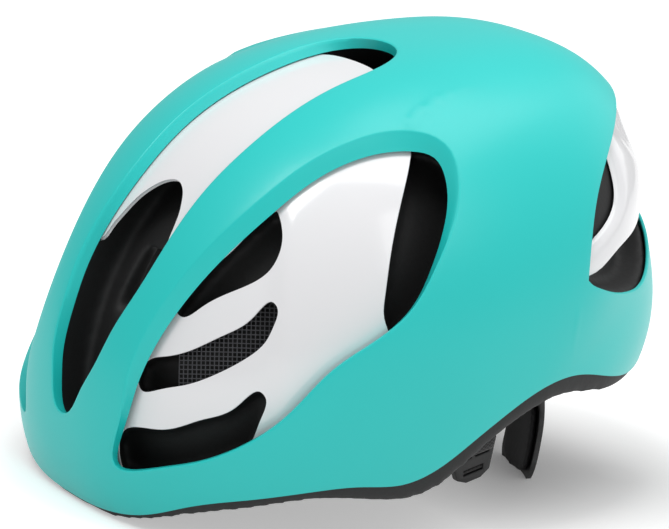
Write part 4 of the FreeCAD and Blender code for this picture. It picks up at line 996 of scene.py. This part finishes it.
# ---------------------------------------------------------------- Studio
# A pale floor that runs out to a white surround, a wide soft lamp overhead, and others in front, behind and
# beside. The floor gives the camera a little light of its own, rising with distance so that it reads white, and
# fading out round a spot under the helmet's tail as a painted shadow.
white_floor, tree, place = started("white_studio_floor")
seen = add(tree, "ShaderNodeLightPath")
bare = reckoned(tree, "MAXIMUM", seen.outputs["Is Camera Ray"], seen.outputs["Is Glossy Ray"])
away = add(tree, "ShaderNodeVectorMath", {"operation": "LENGTH"}, {0: place})
lift = between(tree, 0.42, 0.62, away.outputs["Value"], 0.25, 1.1)
# Painted shadow: the floor's glow fades to nothing round a spot under the tail, darkening the floor there on
# top of the shadow that the lamps cast.
from_painted_shadow_spot = add(tree, "ShaderNodeVectorMath", {"operation": "DISTANCE", 1: (0.045, 0.13, 0)}, {0: place})
clear = between(tree, 0, 1, from_painted_shadow_spot.outputs["Value"], 0.01, 0.12)
glow_with_painted_shadow = reckoned(tree, "MULTIPLY", bare, reckoned(tree, "MULTIPLY", lift, clear))
lit = add(tree, "ShaderNodeBsdfDiffuse", {"Color": linear("#EDEDED")})
white = add(tree, "ShaderNodeEmission", {"Color": (1, 1, 1, 1)}, {"Strength": glow_with_painted_shadow})
both = add(tree, "ShaderNodeAddShader", links={0: lit.outputs[0], 1: white.outputs[0]})
add(tree, "ShaderNodeOutputMaterial", links={"Surface": both.outputs[0]})
mesh = bpy.data.meshes.new("studio_floor")
corners = [(12.0 * x, 12.0 * y, 0) for x, y in ((-1, -1), (1, -1), (1, 1), (-1, 1))]
mesh.from_pydata(corners, [], [(0, 1, 2, 3)])
mesh.materials.append(white_floor)
studio_floor = linked("studio_floor", mesh)
# A black flag keeps the two low lamps off the floor, so the helmet's shadow stays under its tail.
flagged = bpy.data.collections.new("flagged_from_low_lamps")
flagged.objects.link(studio_floor)
flagged.collection_objects[0].light_linking.link_state = "EXCLUDE"

surround = bpy.data.worlds.new("white_surround")
surround.use_nodes = True
tree = surround.node_tree
tree.nodes.clear()
seen = add(tree, "ShaderNodeLightPath")
straight = reckoned(tree, "MAXIMUM", seen.outputs["Is Camera Ray"], seen.outputs["Is Transmission Ray"])
level = between(tree, 0.46, 1.0, straight)
sky = add(tree, "ShaderNodeBackground", {"Color": (1, 1, 1, 1)}, {"Strength": level})
add(tree, "ShaderNodeOutputWorld", links={"Surface": sky.outputs[0]})
bpy.context.scene.world = surround

for name, spot, width, power, low in (
    ("overhead_softbox", (0.25, 0.3, 1.5), 1.2, 11, False),
    ("front_softbox", (0.15, -0.75, 1.45), 0.6, 7.5, False),
    ("side_softbox", (1.6, 0.4, 1.1), 0.9, 4.5, True),
    ("rear_softbox", (0.1, 1.6, 0.9), 1.1, 2.5, True),
):
    lamp = bpy.data.lights.new(name, "AREA")
    lamp.shape, lamp.size, lamp.energy = "SQUARE", width, power
    stand = linked(name, lamp)
    stand.location = spot
    stand.rotation_euler = (Vector((0, 0, 0.08)) - Vector(spot)).to_track_quat("-Z", "Y").to_euler()
    if low:
        stand.light_linking.receiver_collection = flagged

# The camera looks at the left front from a little above, 1.1 m away, through a long lens. Its aim and
# distance are in millimetres of the level helmet.
aim, distance = Vector((0, 0, 70)), 1117.6
azimuth, elevation, roll = math.radians(50.4), math.radians(24.0), math.radians(-0.86)
back = Vector(
    (math.sin(azimuth) * math.cos(elevation), -math.cos(azimuth) * math.cos(elevation), math.sin(elevation))
)
level_right = Vector((math.cos(azimuth), math.sin(azimuth), 0))
level_up = back.cross(level_right)
right = level_right * math.cos(roll) + level_up * math.sin(roll)
up = level_up * math.cos(roll) - level_right * math.sin(roll)
look = Matrix((right, up, back)).transposed().to_4x4()
look.translation = (aim + back * distance) / 1000
lens = bpy.data.cameras.new("studio_camera")
lens.sensor_width, lens.lens = 36, 144.7
lens.shift_x, lens.shift_y = -0.0228, 0.0519
camera = linked("studio_camera", lens)
camera.matrix_world = STAND @ look
bpy.context.scene.camera = camera
bpy.context.scene.view_settings.view_transform = "Standard"
